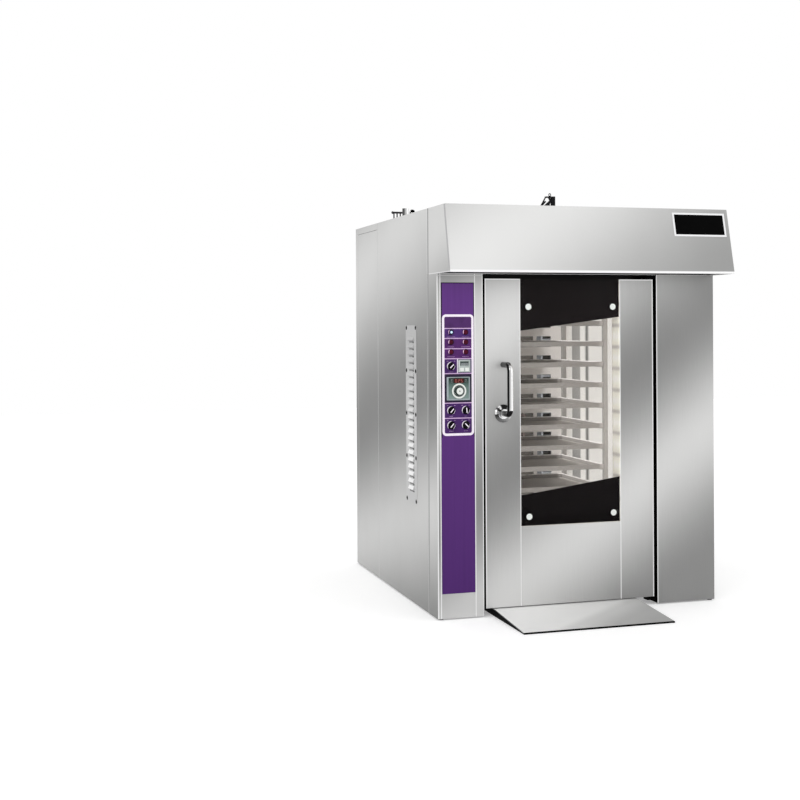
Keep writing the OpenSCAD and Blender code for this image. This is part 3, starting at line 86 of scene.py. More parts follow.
class Graph:
    """A node tree, with short names for the nodes that the finishes use."""

    def __init__(self, name: str, tree: Optional[bpy.types.NodeTree] = None) -> None:
        """Makes an empty material, or takes over a tree that exists.

        Args:
            name: The material's name.
            tree: A tree to clear and use in place of a new material's.
        """
        if tree is None:
            self.material = bpy.data.materials.new(LOOK + name)
            self.material.use_nodes = True
            tree = self.material.node_tree
        self.tree = tree
        self.tree.nodes.clear()
        self._place: Optional[bpy.types.Node] = None
        self._facing: Optional[bpy.types.Node] = None

    def add(self, kind: str, **settings: object) -> bpy.types.Node:
        """Adds a node.

        Args:
            kind: The node's type name without the ShaderNode prefix.
            **settings: Properties of the node.

        Returns:
            The node.
        """
        node = self.tree.nodes.new("ShaderNode" + kind)
        for key, value in settings.items():
            setattr(node, key, value)
        return node

    def feed(self, socket: Socket, value: Union[Value, Colour]) -> None:
        """Links a socket to another, or sets it to a constant.

        Args:
            socket: The input socket.
            value: An output socket, a number or a colour.
        """
        if isinstance(value, bpy.types.NodeSocket):
            self.tree.links.new(value, socket)
        elif isinstance(value, (tuple, list)):
            wide = len(socket.default_value)
            socket.default_value = (tuple(value) + (1.0,))[:wide]
        else:
            socket.default_value = value

    def math(self, op: str, a: Value, b: Value = 0.0, c: Value = 0.0) -> Socket:
        """Returns the output of a math node."""
        node = self.add("Math", operation=op)
        for socket, value in zip(node.inputs, (a, b, c)):
            self.feed(socket, value)
        return node.outputs[0]

    def axis(self, index: int) -> Socket:
        """Returns one coordinate of the shaded point in the row frame."""
        if self._place is None:
            texture = self.add("TexCoord")
            self._place = self.add("SeparateXYZ")
            self.feed(self._place.inputs[0], texture.outputs["Object"])
        return self._place.outputs[index]

    def facing(self, index: int, sign: int = 0) -> Socket:
        """Returns one component of the normal at rest: its size, or with a sign its share that way."""
        if self._facing is None:
            texture = self.add("TexCoord")
            self._facing = self.add("SeparateXYZ")
            self.feed(self._facing.inputs[0], texture.outputs["Normal"])
        part = self._facing.outputs[index]
        return self.math("MULTIPLY", part, sign) if sign else self.math("ABSOLUTE", part)

    def product(self, first: Value, *others: Value) -> Socket:
        """Returns the product of its values."""
        for other in others:
            first = self.math("MULTIPLY", first, other)
        return first

    def above(self, value: Value, limit: float) -> Socket:
        """Returns 1 where a value is above a limit and 0 elsewhere."""
        return self.math("GREATER_THAN", value, limit)

    def below(self, value: Value, limit: float) -> Socket:
        """Returns 1 where a value is below a limit and 0 elsewhere."""
        return self.math("LESS_THAN", value, limit)

    def inside(self, value: Value, low: float, high: float) -> Socket:
        """Returns 1 where a value lies in a span and 0 elsewhere."""
        return self.product(self.above(value, low), self.below(value, high))

    def distance(self, a: Value, b: Value) -> Socket:
        """Returns the length of a vector from its two components."""
        return self.math("SQRT", self.math("ADD", self.product(a, a), self.product(b, b)))

    def spread(self, value: Value, low: float, high: float) -> Socket:
        """Returns how far a value has come from low, where it is 0, to high, where it is 1."""
        node = self.add("MapRange")
        for socket, part in zip(node.inputs, (value, low, high, 0.0, 1.0)):
            self.feed(socket, part)
        return node.outputs[0]

    def seen(self) -> Socket:
        """Returns 1 for what the camera, mirrors and panes show, and 0 for what lights the scene."""
        path = self.add("LightPath")
        shown = self.math("MAXIMUM", path.outputs["Is Camera Ray"], path.outputs["Is Glossy Ray"])
        return self.math("MAXIMUM", shown, path.outputs["Is Transmission Ray"])

    def mix(self, share: Value, a: Union[Value, Colour], b: Union[Value, Colour],
            kind: str = "MIX") -> Socket:
        """Returns the mix of two colours.

        Args:
            share: How much of b shows, 0 to 1.
            a: The first colour.
            b: The second colour.
            kind: The blend type.
        """
        node = self.add("Mix", data_type="RGBA", blend_type=kind)
        self.feed(node.inputs[0], share)
        self.feed(node.inputs[6], a)
        self.feed(node.inputs[7], b)
        return node.outputs[2]

    def ramp(self, value: Value, stops: Sequence[tuple[float, Colour]], mode: str = "EASE") -> Socket:
        """Returns a colour that runs through stops as value rises.

        Args:
            value: The driving value.
            stops: Pairs of a value and a colour, in rising order.
            mode: The ramp's interpolation.
        """
        low, high = stops[0][0], stops[-1][0]
        node = self.add("ValToRGB")
        node.color_ramp.interpolation = mode
        elements = node.color_ramp.elements
        while len(elements) < len(stops):
            elements.new(0.5)
        for element, (at, colour) in zip(elements, stops):
            element.position = (at - low) / (high - low)
            element.color = (*colour, 1.0)
        self.feed(node.inputs[0], self.spread(value, low, high))
        return node.outputs[0]

    def mottle(self, share: float, colour: Union[Value, Colour], pattern: Socket, dark: float,
               edge: float = 0.3, mode: str = "EASE") -> Socket:
        """Returns a colour that a grey pattern makes darker and lighter by turns.

        Args:
            share: How strongly the pattern shows.
            colour: The colour under it.
            pattern: Its value, around one half.
            dark: Its darkest grey; its lightest is as far above one half.
            edge: The value at which it is darkest.
            mode: The ramp's interpolation.
        """
        stops = ((edge, (dark,) * 3), (1 - edge, (1 - dark,) * 3))
        return self.mix(share, colour, self.ramp(pattern, stops, mode), "OVERLAY")

    def brushed(self, colour: Union[Value, Colour]) -> tuple[Socket, Socket]:
        """Returns the grain of a brushed sheet, and a colour with that grain in it."""
        grain = self.noise((900.0, 900.0, 7.0), 4.0, 0.7)
        return grain, self.mottle(0.16, colour, grain, 0.25, 0.2, "LINEAR")

    def noise(self, scale: Colour, detail: float = 3.0, rough: float = 0.55) -> Socket:
        """Returns a noise value stretched by a scale for each axis.

        Args:
            scale: How many cells there are in a metre along X, Y and Z.
            detail: Octaves.
            rough: Roughness of the octaves.
        """
        texture = self.add("TexCoord")
        mapping = self.add("Mapping")
        self.feed(mapping.inputs[0], texture.outputs["Object"])
        mapping.inputs["Scale"].default_value = scale
        node = self.add("TexNoise")
        self.feed(node.inputs["Vector"], mapping.outputs[0])
        node.inputs["Scale"].default_value = 1.0
        node.inputs["Detail"].default_value = detail
        node.inputs["Roughness"].default_value = rough
        return node.outputs["Fac"]

    def bump(self, height: Socket, depth: float, strength: float = 1.0) -> Socket:
        """Returns a normal that is disturbed by a height."""
        node = self.add("Bump")
        node.inputs["Strength"].default_value = strength
        node.inputs["Distance"].default_value = depth
        self.feed(node.inputs["Height"], height)
        return node.outputs[0]

    def surface(self, **inputs: Union[Value, Colour]) -> bpy.types.Material:
        """Closes the tree with a principled shader.

        Args:
            **inputs: Values for the shader's inputs; underscores stand for spaces.

        Returns:
            The finished material.
        """
        shader = self.add("BsdfPrincipled")
        for name, value in inputs.items():
            self.feed(shader.inputs[name.replace("_", " ")], value)
        self.feed(self.add("OutputMaterial").inputs[0], shader.outputs[0])
        return self.material


@dataclass(frozen=True)
class Wave:
    """Painted reflection: soft light and dark bands that cross a sheet at a slant.

    Attributes:
        turn: How much each coordinate counts in the value that drives the bands.
        stops: Pairs of that value in metres and the sRGB level there.
    """

    turn: Colour
    stops: Levels

    def colour(self, graph: Graph, tint: Colour) -> Socket:
        """Returns the bands' colour in a material.

        Args:
            graph: The material's graph.
            tint: Multiplies each level.
        """
        total: Value = 0.0
        for index, share in enumerate(self.turn):
            if share:
                total = graph.math("MULTIPLY_ADD", graph.axis(index), share, total)
        stops = [(at, tuple(level / 255 * t for t in tint)) for at, level in self.stops]
        coded = graph.add("Gamma")
        graph.feed(coded.inputs[0], graph.ramp(total, stops))
        coded.inputs[1].default_value = 2.2
        return coded.outputs[0]


# Painted reflection: the bands and their levels for each kind of sheet.
FRONT_WAVE = Wave((-0.72, 0.0, 1.0), ((-0.285, 141), (0.41, 213), (1.065, 136), (1.89, 215), (2.7, 148)))
SIDE_WAVE = Wave((0.0, 0.25, 1.0), ((-0.33, 131), (0.38, 204), (1.09, 128), (2.10, 216), (2.8, 160)))
HOOD_WAVE = Wave((-0.72, 0.0, 1.0), ((1.30, 156), (2.41, 227), (3.3, 168)))
RAMP_WAVE = Wave((-0.7, 1.0, 0.0), ((-1.45, 186), (-1.27, 197), (-1.10, 222), (-1.0, 248), (-0.70, 255),
                                    (0.2, 225)))
CHEEK_WAVE = Wave((0.0, 0.25, 1.0), ((1.30, 150), (1.86, 216), (2.3, 214), (2.8, 170)))
COLUMN_WAVE = Wave((0.0, 0.25, 1.0), ((-0.33, 133), (0.38, 208), (1.03, 117), (1.12, 119), (2.02, 220),
                                      (2.8, 170)))
ROOF_WAVE = Wave((0.4, 1.0, 0.0), ((-1.2, 200), (0.0, 170), (1.2, 205)))


@dataclass(frozen=True)
class Line:
    """A painted highlight along a fold when light, and painted shade along a groove when dark, drawn on a
    sheet.

    Attributes:
        axis: The coordinate that is constant along the line.
        at: Its value.
        width: The line's full width.
        level: sRGB level of the line.
        normal: The axis that the faces it is on look along, or None for all faces.
        crisp: How sharply it ends at its sides.
    """

    axis: int
    at: float
    width: float = 0.005
    level: float = 246
    normal: Optional[int] = None
    crisp: float = 1.8

    def colour(self, g: Graph, under: Value) -> Socket:
        """Returns a colour with the line drawn over it."""
        off = g.math("ABSOLUTE", g.math("SUBTRACT", g.axis(self.axis), self.at))
        share = g.product(g.math("SUBTRACT", 1.0, g.math("DIVIDE", off, self.width / 2)), self.crisp)
        share = g.math("MINIMUM", g.math("MAXIMUM", share, 0.0), 1.0)
        if self.normal is not None:
            share = g.product(share, g.above(g.facing(self.normal), STEEP))
        return g.mix(share, under, grey(self.level))


@dataclass(frozen=True)
class Shade:
    """Painted shade, and a painted highlight where its level is light, on a part of a node with a level of
    its own: where a coordinate lies in a span.

    Attributes:
        axis: The coordinate.
        low: Start of the span.
        high: End of the span.
        normal: The axis that the faces it applies to look along, or None for all faces.
        sign: 1 or -1 for faces that look up or down that axis, 0 for both.
        level: sRGB level of the part.
    """

    axis: int
    low: float
    high: float
    normal: Optional[int] = None
    sign: int = 0
    level: float = 5

    def share(self, g: Graph) -> Socket:
        """Returns 1 on the shaded part and 0 elsewhere."""
        inside = g.inside(g.axis(self.axis), self.low, self.high)
        if self.normal is None:
            return inside
        return g.product(inside, g.above(g.facing(self.normal, self.sign), STEEP))


@dataclass(frozen=True)
class BrushedSteel:
    """Brushed stainless sheet with grain, painted reflection bands, painted highlights along folds, painted
    shade along grooves and painted shade on its returns.

    Attributes:
        name: The material's name.
        front: Painted reflection bands on the faces that look to the front or the back.
        side: Painted reflection bands on the faces that look to the sides.
        top: Painted reflection bands on the faces that look up or down.
        tint: Colour of the steel.
        metallic: How metallic the sheet is.
        roughness: Mean roughness.
        specular: Strength of its plain gloss.
        level_face: Share of the normal along Z above which a face takes the top's bands.
        lines: Painted highlights along folds and painted shade along grooves.
        shades: Parts with a level of their own: painted shade, and a painted highlight where light.
    """

    name: str
    front: Wave = FRONT_WAVE
    side: Wave = SIDE_WAVE
    top: Wave = ROOF_WAVE
    tint: Colour = (1.0, 1.0, 0.995)
    metallic: float = 0.3
    roughness: float = 0.42
    specular: float = 0.15
    level_face: float = 0.8
    lines: tuple[Line, ...] = ()
    shades: tuple[Shade, ...] = ()

    def build(self) -> bpy.types.Material:
        """Returns the material."""
        g = Graph(self.name)
        # Painted reflection: bands for the front, the sides and the top.
        colour = g.mix(g.above(g.facing(X), STEEP), self.front.colour(g, self.tint),
                       self.side.colour(g, self.tint))
        colour = g.mix(g.above(g.facing(Z), self.level_face), colour, self.top.colour(g, self.tint))
        grain, colour = g.brushed(colour)
        colour = g.mottle(0.10, colour, g.noise((2.2, 2.2, 1.4), 2.0), 0.35)
        # Painted highlights and shade along lines, then painted shade on parts, which is also made dull.
        for line in self.lines:
            colour = line.colour(g, colour)
        plain: Value = 1.0
        for shade in self.shades:
            share = shade.share(g)
            colour = g.mix(share, colour, grey(shade.level))
            plain = g.product(plain, g.math("SUBTRACT", 1.0, share))
        rough = g.math("MULTIPLY_ADD", grain, 0.16, self.roughness - 0.08)
        return g.surface(Base_Color=colour, Metallic=g.product(plain, self.metallic), Roughness=rough,
                         Specular_IOR_Level=g.product(plain, self.specular),
                         Normal=g.bump(grain, 0.0002, 0.25), Anisotropic=0.45)


@dataclass(frozen=True)
class VentSteel:
    """Pale sheet of the vent strip, with painted shade in the mouths under its louvres, at their ends and
    round its screws, and a painted highlight on the louvre faces that grows downwards.

    Attributes:
        first: Height of the lowest louvre's mouth.
        pitch: Spacing of the louvres.
        half: Half a louvre's length.
        reach: Distance of the screws from the strip's middle.
        inset: Distance of the end screws from the strip's ends.
        screw: Radius of the painted shade round each screw.
        glare: Heights at which the painted highlight on the louvres' faces begins and is full.
        levels: Pairs of a height and the sheet's sRGB level there.
    """

    name: str = "steel_vent"
    first: float = 0.637
    pitch: float = 0.040
    half: float = 0.055
    reach: float = 0.087
    inset: float = 0.014
    screw: float = 0.0125
    glare: Point = (1.30, 0.85)
    levels: Levels = ((0.55, 200), (0.9, 205), (1.15, 200), (1.55, 188))

    def build(self) -> bpy.types.Material:
        """Returns the material."""
        g = Graph(self.name)
        low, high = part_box("vent_strip")
        y, z = g.math("SUBTRACT", g.axis(Y), (low.y + high.y) / 2), g.axis(Z)
        colour = g.ramp(z, greys(self.levels))
        phase = g.math("FRACT", g.math("DIVIDE", g.math("SUBTRACT", z, self.first), self.pitch))
        rows = g.inside(z, self.first - 0.2 * self.pitch, self.first + 21.6 * self.pitch)
        # Painted highlight on the louvre faces; painted shade in the mouths, at the louvres' ends and round
        # each screw.
        face = g.product(g.inside(y, -self.half * 0.8, self.half * 0.8), g.inside(phase, 0.05, 0.62), rows,
                         g.spread(z, *self.glare))
        mouth = g.product(g.inside(y, -self.half, self.half * 0.6), g.above(phase, 0.80), rows)
        end = g.product(g.inside(y, -self.half, -self.half * 0.60), g.above(phase, 0.72), rows)
        rise = g.math("PINGPONG", g.math("SUBTRACT", z, low.z + self.inset),
                      (high.z - low.z - 2 * self.inset) / 8)
        aside = g.math("SUBTRACT", g.math("ABSOLUTE", y), self.reach)
        head = g.below(g.distance(rise, aside), self.screw)
        for share, paint in ((face, grey(252)), (mouth, grey(128)), (end, grey(62)), (head, (0.006,) * 3)):
            colour = g.mix(share, colour, paint)
        grain, colour = g.brushed(colour)
        return g.surface(Base_Color=colour, Roughness=0.42, Specular_IOR_Level=0.1,
                         Normal=g.bump(grain, 0.0002, 0.25))


@dataclass(frozen=True)
class TraySteel:
    """Satin tray sheet with painted shade on its upright faces, which are darker.

    Attributes:
        name: The material's name.
        sheet: Colour of the flat faces.
        edge: Colour of the upright faces, darker as painted shade.
    """

    name: str = "tray_sheet"
    sheet: Colour = (0.60, 0.575, 0.55)
    edge: Colour = (0.33, 0.315, 0.30)

    def build(self) -> bpy.types.Material:
        """Returns the material."""
        g = Graph(self.name)
        smudge = g.noise((40.0,) * 3, 4.0)
        # Painted shade: upright faces take the darker colour.
        colour = g.mottle(0.15, g.mix(g.below(g.facing(Z), 0.5), self.sheet, self.edge), smudge, 0.35)
        return g.surface(Base_Color=colour, Metallic=0.2, Roughness=g.math("MULTIPLY_ADD", smudge, 0.2, 0.3),
                         Specular_IOR_Level=0.2, Normal=g.bump(smudge, 0.0001, 0.3))


@dataclass(frozen=True)
class Metal:
    """Plain metal with smudges and a fine grain.

    Attributes:
        name: The material's name.
        colour: Its colour where it is clean.
        metallic: How metallic it is.
        roughness: Its roughness, which the smudges change.
        wear: How much darker it is where it is smudged.
        scale: Number of smudges in a metre.
        depth: Depth of the grain.
    """

    name: str
    colour: Colour
    metallic: float = 1.0
    roughness: float = 0.12
    wear: float = 0.25
    scale: float = 60.0
    depth: float = 0.0001

    def build(self) -> bpy.types.Material:
        """Returns the material."""
        g = Graph(self.name)
        smudge = g.noise((self.scale,) * 3, 5.0)
        dark = tuple(c * (1 - self.wear) for c in self.colour)
        colour = g.ramp(smudge, ((0.3, dark), (0.7, self.colour)))
        rough = g.math("MULTIPLY_ADD", smudge, self.roughness, self.roughness * 0.5)
        return g.surface(Base_Color=colour, Metallic=self.metallic, Roughness=rough,
                         Normal=g.bump(g.noise((self.scale * 8,) * 3), self.depth, 0.4))


@dataclass(frozen=True)
class Coating:
    """Paint, plastic, print or rubber, with mottling, fine texture and an optional gloss coat.

    Attributes:
        name: The material's name.
        colour: Its mean colour.
        roughness: Mean roughness.
        coat: Strength of the gloss coat.
        mottle: How much the colour changes from place to place.
        grain: Number of grains in a metre.
        depth: Depth of the grain.
        glow: Strength of the light that it gives off.
        gloss: Strength of its plain gloss.
    """

    name: str
    colour: Colour
    roughness: float = 0.4
    coat: float = 0.0
    mottle: float = 0.12
    grain: float = 400.0
    depth: float = 0.0001
    glow: float = 0.0
    gloss: float = 0.3

    def build(self) -> bpy.types.Material:
        """Returns the material."""
        g = Graph(self.name)
        low = tuple(c * (1 - self.mottle) for c in self.colour)
        high = tuple(min(1.0, c * (1 + self.mottle)) for c in self.colour)
        colour = g.ramp(g.noise((25.0,) * 3, 3.0), ((0.3, low), (0.7, high)))
        fine = g.noise((self.grain,) * 3, 2.0)
        rough = g.math("MULTIPLY_ADD", fine, 0.15, max(0.02, self.roughness - 0.07))
        extra: dict[str, Union[Value, Colour]] = {}
        if self.glow:
            extra = {"Emission_Color": colour, "Emission_Strength": self.glow}
        return g.surface(Base_Color=colour, Roughness=rough, Coat_Weight=self.coat, Coat_Roughness=0.06,
                         Specular_IOR_Level=self.gloss, Normal=g.bump(fine, self.depth, 0.5), **extra)


@dataclass(frozen=True)
class PanelFoil:
    """Purple polyester overlay that darkens downwards, with faint upright streaks and painted shade along its
    edge.

    Attributes:
        top: Colour at the upper end.
        bottom: Colour at the lower end.
        edge: Colour of the painted shade along the edge.
        low: Height of the lower end's colour.
        high: Height of the upper end's colour.
        edge_end: Height below which the edge has no painted shade.
        rims: Width of the painted shade on the left, on the right and above.
    """

    name: str = "panel_foil"
    top: Colour = rgb(98, 55, 130)
    bottom: Colour = rgb(76, 37, 106)
    edge: Colour = rgb(44, 30, 54)
    low: float = 0.14
    high: float = 1.79
    edge_end: float = 0.968
    rims: tuple[float, float, float] = (0.006, 0.0045, 0.005)

    def build(self) -> bpy.types.Material:
        """Returns the material."""
        g = Graph(self.name)
        first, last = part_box("control_panel")
        colour = g.ramp(g.axis(Z), ((self.low, self.bottom), (self.high, self.top)), "LINEAR")
        colour = g.mottle(0.2, colour, g.noise((60.0, 60.0, 1.2), 3.0), 0.4)
        # Painted shade along the left, right and upper edge, above edge_end.
        left, right, above = self.rims
        middle = g.product(g.inside(g.axis(X), first.x + left, last.x - right),
                           g.below(g.axis(Z), last.z - above))
        rim = g.product(g.math("SUBTRACT", 1.0, middle), g.above(g.axis(Z), self.edge_end))
        colour = g.mix(rim, colour, self.edge)
        fine = g.noise((500.0,) * 3, 2.0)
        return g.surface(Base_Color=colour, Roughness=0.4, Specular_IOR_Level=0.12, Coat_Weight=0.04,
                         Coat_Roughness=0.1, Normal=g.bump(fine, 0.00005, 0.3))


@dataclass(frozen=True)
class WindowGlass:
    """Clear pane with a faint tint and dust that scatters a little light.

    Attributes:
        name: The material's name.
        tint: Colour of what is seen through it.
        dust: How much of its gloss the dust shows.
    """

    name: str
    tint: Colour = (0.975, 0.97, 0.965)
    dust: float = 0.003

    def build(self) -> bpy.types.Material:
        """Returns the material."""
        g = Graph(self.name)
        clear = g.add("BsdfTransparent")
        g.feed(clear.inputs[0], self.tint)
        gloss = g.add("BsdfGlossy")
        gloss.inputs["Roughness"].default_value = 0.03
        g.feed(gloss.inputs["Color"], (0.9, 0.92, 0.92))
        share = g.math("MULTIPLY_ADD", g.noise((3.0, 3.0, 1.5), 4.0), self.dust, 0.001)
        mixed = g.add("MixShader")
        for socket, value in zip(mixed.inputs, (share, clear.outputs[0], gloss.outputs[0])):
            g.feed(socket, value)
        g.feed(g.add("OutputMaterial").inputs[0], mixed.outputs[0])
        return g.material


@dataclass(frozen=True)
class Liner:
    """Satin stainless inside the chamber, warm, with upright bands of reflected light.

    Attributes:
        across: Pairs of x in metres and the sRGB level there, for sheets that face the front.
        along: Pairs of y and the level, for sheets that face the sides.
        shade_black_front: Whether the face sheet behind the door is painted near black as shade.
        face_back: How far back in y the face sheet reaches.
        plenum: The y behind which the sheets are painted dark as shade, behind the air panel.
    """

    name: str
    across: Levels = ((-0.6, 240), (0.12, 232), (0.20, 236), (0.36, 240), (0.5, 244))
    along: Levels = ((-0.68, 246), (0.10, 250), (0.14, 120), (0.18, 250), (0.235, 248), (0.25, 168),
                     (0.36, 160), (0.375, 248))
    shade_black_front: bool = False
    face_back: float = -0.7395
    plenum: float = 0.53

    def build(self) -> bpy.types.Material:
        """Returns the material."""
        g = Graph(self.name)
        front = g.ramp(g.axis(X), greys(self.across, (1.0, 0.965, 0.94)))
        flank = g.ramp(g.axis(Y), greys(self.along, (1.0, 0.995, 0.97)))
        colour = g.mix(g.above(g.facing(X), STEEP), front, flank)
        colour = g.mottle(0.3, colour, g.noise((3.0, 3.0, 1.1), 5.0), 0.42, 0.35)
        # Painted shade: the face sheet behind the door near black, and the sheets behind the air panel dark.
        if self.shade_black_front:
            colour = g.mix(g.below(g.axis(Y), self.face_back), colour, PAINTED_SHADE_BLACK)
            colour = g.mix(g.above(g.axis(Y), self.plenum), colour, (0.05, 0.045, 0.04))
        grain = g.noise((8.0, 500.0, 500.0), 3.0)
        rough = g.math("MULTIPLY_ADD", grain, 0.2, 0.35)
        return g.surface(Base_Color=colour, Metallic=0.25, Roughness=rough, Specular_IOR_Level=0.3,
                         Normal=g.bump(grain, 0.0002, 0.3))


@dataclass(frozen=True)
class ChromeWithPaintedReflection:
    """Polished disc, turned on a lathe, with a painted reflection: light and dark sectors round its axis and
    a painted highlight on part of an inner ring.

    Attributes:
        centre: The disc's axis in (x, z).
        ring: Radius of the inner ring of painted highlight.
        half: Half the ring's width.
        ring_top: Height above the axis at which the ring ends.
        sectors: Pairs of an angle in degrees and the sRGB level of the painted reflection there.
    """

    name: str
    centre: Point
    ring: float = 0.026
    half: float = 0.0035
    ring_top: float = 0.012
    sectors: Levels = (
        (-180, 250), (-172, 20), (-140, 90), (-90, 120), (-50, 150), (-15, 225), (40, 190), (62, 20),
        (108, 12), (118, 235), (128, 235), (138, 40), (150, 60), (158, 250), (180, 250))

    def build(self) -> bpy.types.Material:
        """Returns the material."""
        g = Graph(self.name)
        dx = g.math("SUBTRACT", g.axis(X), self.centre[0])
        dz = g.math("SUBTRACT", g.axis(Z), self.centre[1])
        angle = g.math("DEGREES", g.math("ARCTAN2", dz, dx))
        # Painted reflection by angle round the axis, with a painted highlight on the inner ring.
        colour = g.ramp(angle, greys(self.sectors), "LINEAR")
        ring = g.inside(g.distance(dx, dz), self.ring - self.half, self.ring + self.half)
        colour = g.mix(g.product(ring, g.below(dz, self.ring_top)), colour, (0.9, 0.9, 0.92))
        lathe = g.noise((400.0, 400.0, 400.0), 2.0)
        return g.surface(Base_Color=colour, Metallic=0.8, Roughness=g.math("MULTIPLY_ADD", lathe, 0.1, 0.1),
                         Normal=g.bump(lathe, 0.00005, 0.3))


@dataclass(frozen=True)
class TubeChrome:
    """Polished tube with a painted reflection that follows its normal: dark on its left, above and below, and
    bright on its right.

    Attributes:
        turns: Pairs of the normal's share along x and the sRGB level of the painted reflection there.
    """

    name: str
    turns: Levels = ((-1.0, 60), (-0.9, 12), (-0.62, 14), (-0.5, 190), (-0.25, 205), (-0.12, 180),
                     (0.02, 250), (0.85, 252), (1.0, 200))

    def build(self) -> bpy.types.Material:
        """Returns the material."""
        g = Graph(self.name)
        # Painted reflection: colour by the normal, dark underneath and on top.
        colour = g.ramp(g.facing(X, 1), greys(self.turns), "LINEAR")
        colour = g.mix(g.below(g.facing(Z, 1), -0.25), colour, (0.004, 0.004, 0.005))
        colour = g.mix(g.above(g.facing(Z, 1), 0.8), colour, (0.01, 0.01, 0.012))
        smudge = g.noise((80.0,) * 3, 4.0)
        return g.surface(Base_Color=colour, Metallic=0.8, Roughness=g.math("MULTIPLY_ADD", smudge, 0.1, 0.06),
                         Normal=g.bump(smudge, 0.00005, 0.2))


@dataclass(frozen=True)
class MaskPrint:
    """Black ceramic print behind the pane, a little lighter in its upper part.

    Attributes:
        name: The material's name.
        low: Colour of its lower part.
        high: Colour of its upper part.
    """

    name: str = "mask_print"
    low: Colour = rgb(11, 7, 8)
    high: Colour = rgb(23, 19, 20)

    def build(self) -> bpy.types.Material:
        """Returns the material."""
        g = Graph(self.name)
        colour = g.ramp(g.axis(Z), ((0.55, self.low), (1.5, self.high)))
        cloud = g.noise((14.0,) * 3, 3.0)
        colour = g.mottle(0.2, colour, cloud, 0.35)
        return g.surface(Base_Color=colour, Roughness=g.math("MULTIPLY_ADD", cloud, 0.1, 0.35),
                         Specular_IOR_Level=0.05, Normal=g.bump(cloud, 0.0001, 0.2))


class Finish(Enum):
    """The plain finishes, by the job that they do."""

    CHROME = Metal("chrome", (0.88, 0.88, 0.90), roughness=0.06, wear=0.08)
    RIM = Metal("tray_rim", (0.95, 0.93, 0.92), 0.2, 0.3, 0.05, 40.0)
    RACK = Metal("rack_steel", (0.33, 0.32, 0.305), 0.3, 0.35, 0.12, 50.0)
    FRAME = Coating("frame_paint", (0.03, 0.03, 0.032), 0.5, mottle=0.3)
    BLACK = Coating("black_paint", (0.0015, 0.0015, 0.0015), 0.5, gloss=0.02)
    MOTOR = Coating("motor_paint", (0.004, 0.004, 0.005), 0.4, 0.03, 0.4, gloss=0.1)
    WOOL = Coating("mineral_wool", rgb(190, 172, 128), 0.9, mottle=0.3, grain=250.0, depth=0.002)
    RUBBER = Coating("seal_rubber", (0.015, 0.015, 0.015), 0.7, mottle=0.3)
    CAST = Metal("cast_housing", (0.16, 0.17, 0.18), 0.3, 0.5, 0.35, 90.0, 0.0006)
    GALV = Metal("galvanised", (0.42, 0.43, 0.44), 0.8, 0.35, 0.35, 30.0)
    HEATER = Metal("heater_alloy", (0.07, 0.05, 0.045), 0.2, 0.5, 0.5, 25.0)
    WHEEL = Coating("wheel_resin", (0.03, 0.028, 0.026), 0.5)
    KNOB = Coating("knob_black", (0.003, 0.002, 0.004), 0.45, gloss=0.06)
    # White print, also used for the painted highlights on the knobs' rings.
    WHITE = Coating("print_and_highlight_white", rgb(250, 241, 252), 0.4, mottle=0.02, gloss=0.1)
    LILAC = Coating("print_lilac", rgb(214, 180, 222), 0.4, mottle=0.05, gloss=0.1)
    GREY_PRINT = Coating("print_grey", rgb(178, 150, 186), 0.4, mottle=0.25, grain=500.0, gloss=0.1)
    HEADER = Coating("row_header", rgb(78, 44, 98), 0.4, 0.05, gloss=0.1)
    ROW_BLUE = Coating("row_blue", rgb(78, 46, 112), 0.4, 0.05, gloss=0.1)
    ROW_MAGENTA = Coating("row_magenta", rgb(84, 40, 104), 0.4, 0.05, gloss=0.1)
    ROW_DARK = Coating("row_dark", rgb(70, 38, 98), 0.4, 0.05, gloss=0.1)
    ROW_BLACK = Coating("row_black", rgb(44, 34, 58), 0.4, 0.05, gloss=0.1)
    DIAL_WHITE = Coating("dial_white", rgb(236, 240, 236), 0.4, mottle=0.03, gloss=0.1)
    MODULE = Coating("module_grey", rgb(178, 186, 184), 0.5, mottle=0.08, gloss=0.1)
    MODULE_RIM = Coating("module_rim", rgb(158, 168, 172), 0.5, mottle=0.1, gloss=0.1)
    DISPLAY = Coating("display_black", rgb(56, 66, 64), 0.3, 0.1, gloss=0.1)
    DISPLAY_RED = Coating("display_red", rgb(58, 12, 14), 0.3, 0.1, gloss=0.1)
    LCD = Coating("display_lcd", rgb(52, 66, 62), 0.35, gloss=0.06)
    LCD_PALE = Coating("display_pale", rgb(150, 156, 158), 0.3, gloss=0.1)
    RED_GLOW = Coating("digit_red", rgb(190, 104, 94), 0.4, glow=0.1)
    LENS_RED = Coating("lens_red", rgb(76, 4, 34), 0.35, 0.05, 0.2, gloss=0.08)
    LENS_RING = Coating("lens_ring", rgb(34, 12, 36), 0.4, gloss=0.1)
    LENS_BLUE = Coating("lens_blue", rgb(14, 24, 66), 0.3, 0.2, 0.2, gloss=0.2)
    LENS_LIT = Coating("lens_lit", rgb(196, 226, 252), 0.15, 0.8, 0.08, glow=0.5)
    # Painted highlight on the lamps' bezels.
    GLINT = Coating("lens_glint", rgb(240, 196, 232), 0.3, mottle=0.05, gloss=0.1)
    LAMP = Coating("chamber_lamp", (0.93, 0.91, 0.86), 0.4, mottle=0.04, glow=0.35)

    def material(self) -> bpy.types.Material:
        """Returns the finish's material, made once."""
        made = bpy.data.materials.get(LOOK + self.value.name)
        return made or self.value.build()


def dress(node: str, material: bpy.types.Material) -> None:
    """Gives a CAD node a material.

    Args:
        node: The node's name.
        material: What it is made of.
    """
    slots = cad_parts[node].data.materials
    slots.clear()
    slots.append(material)


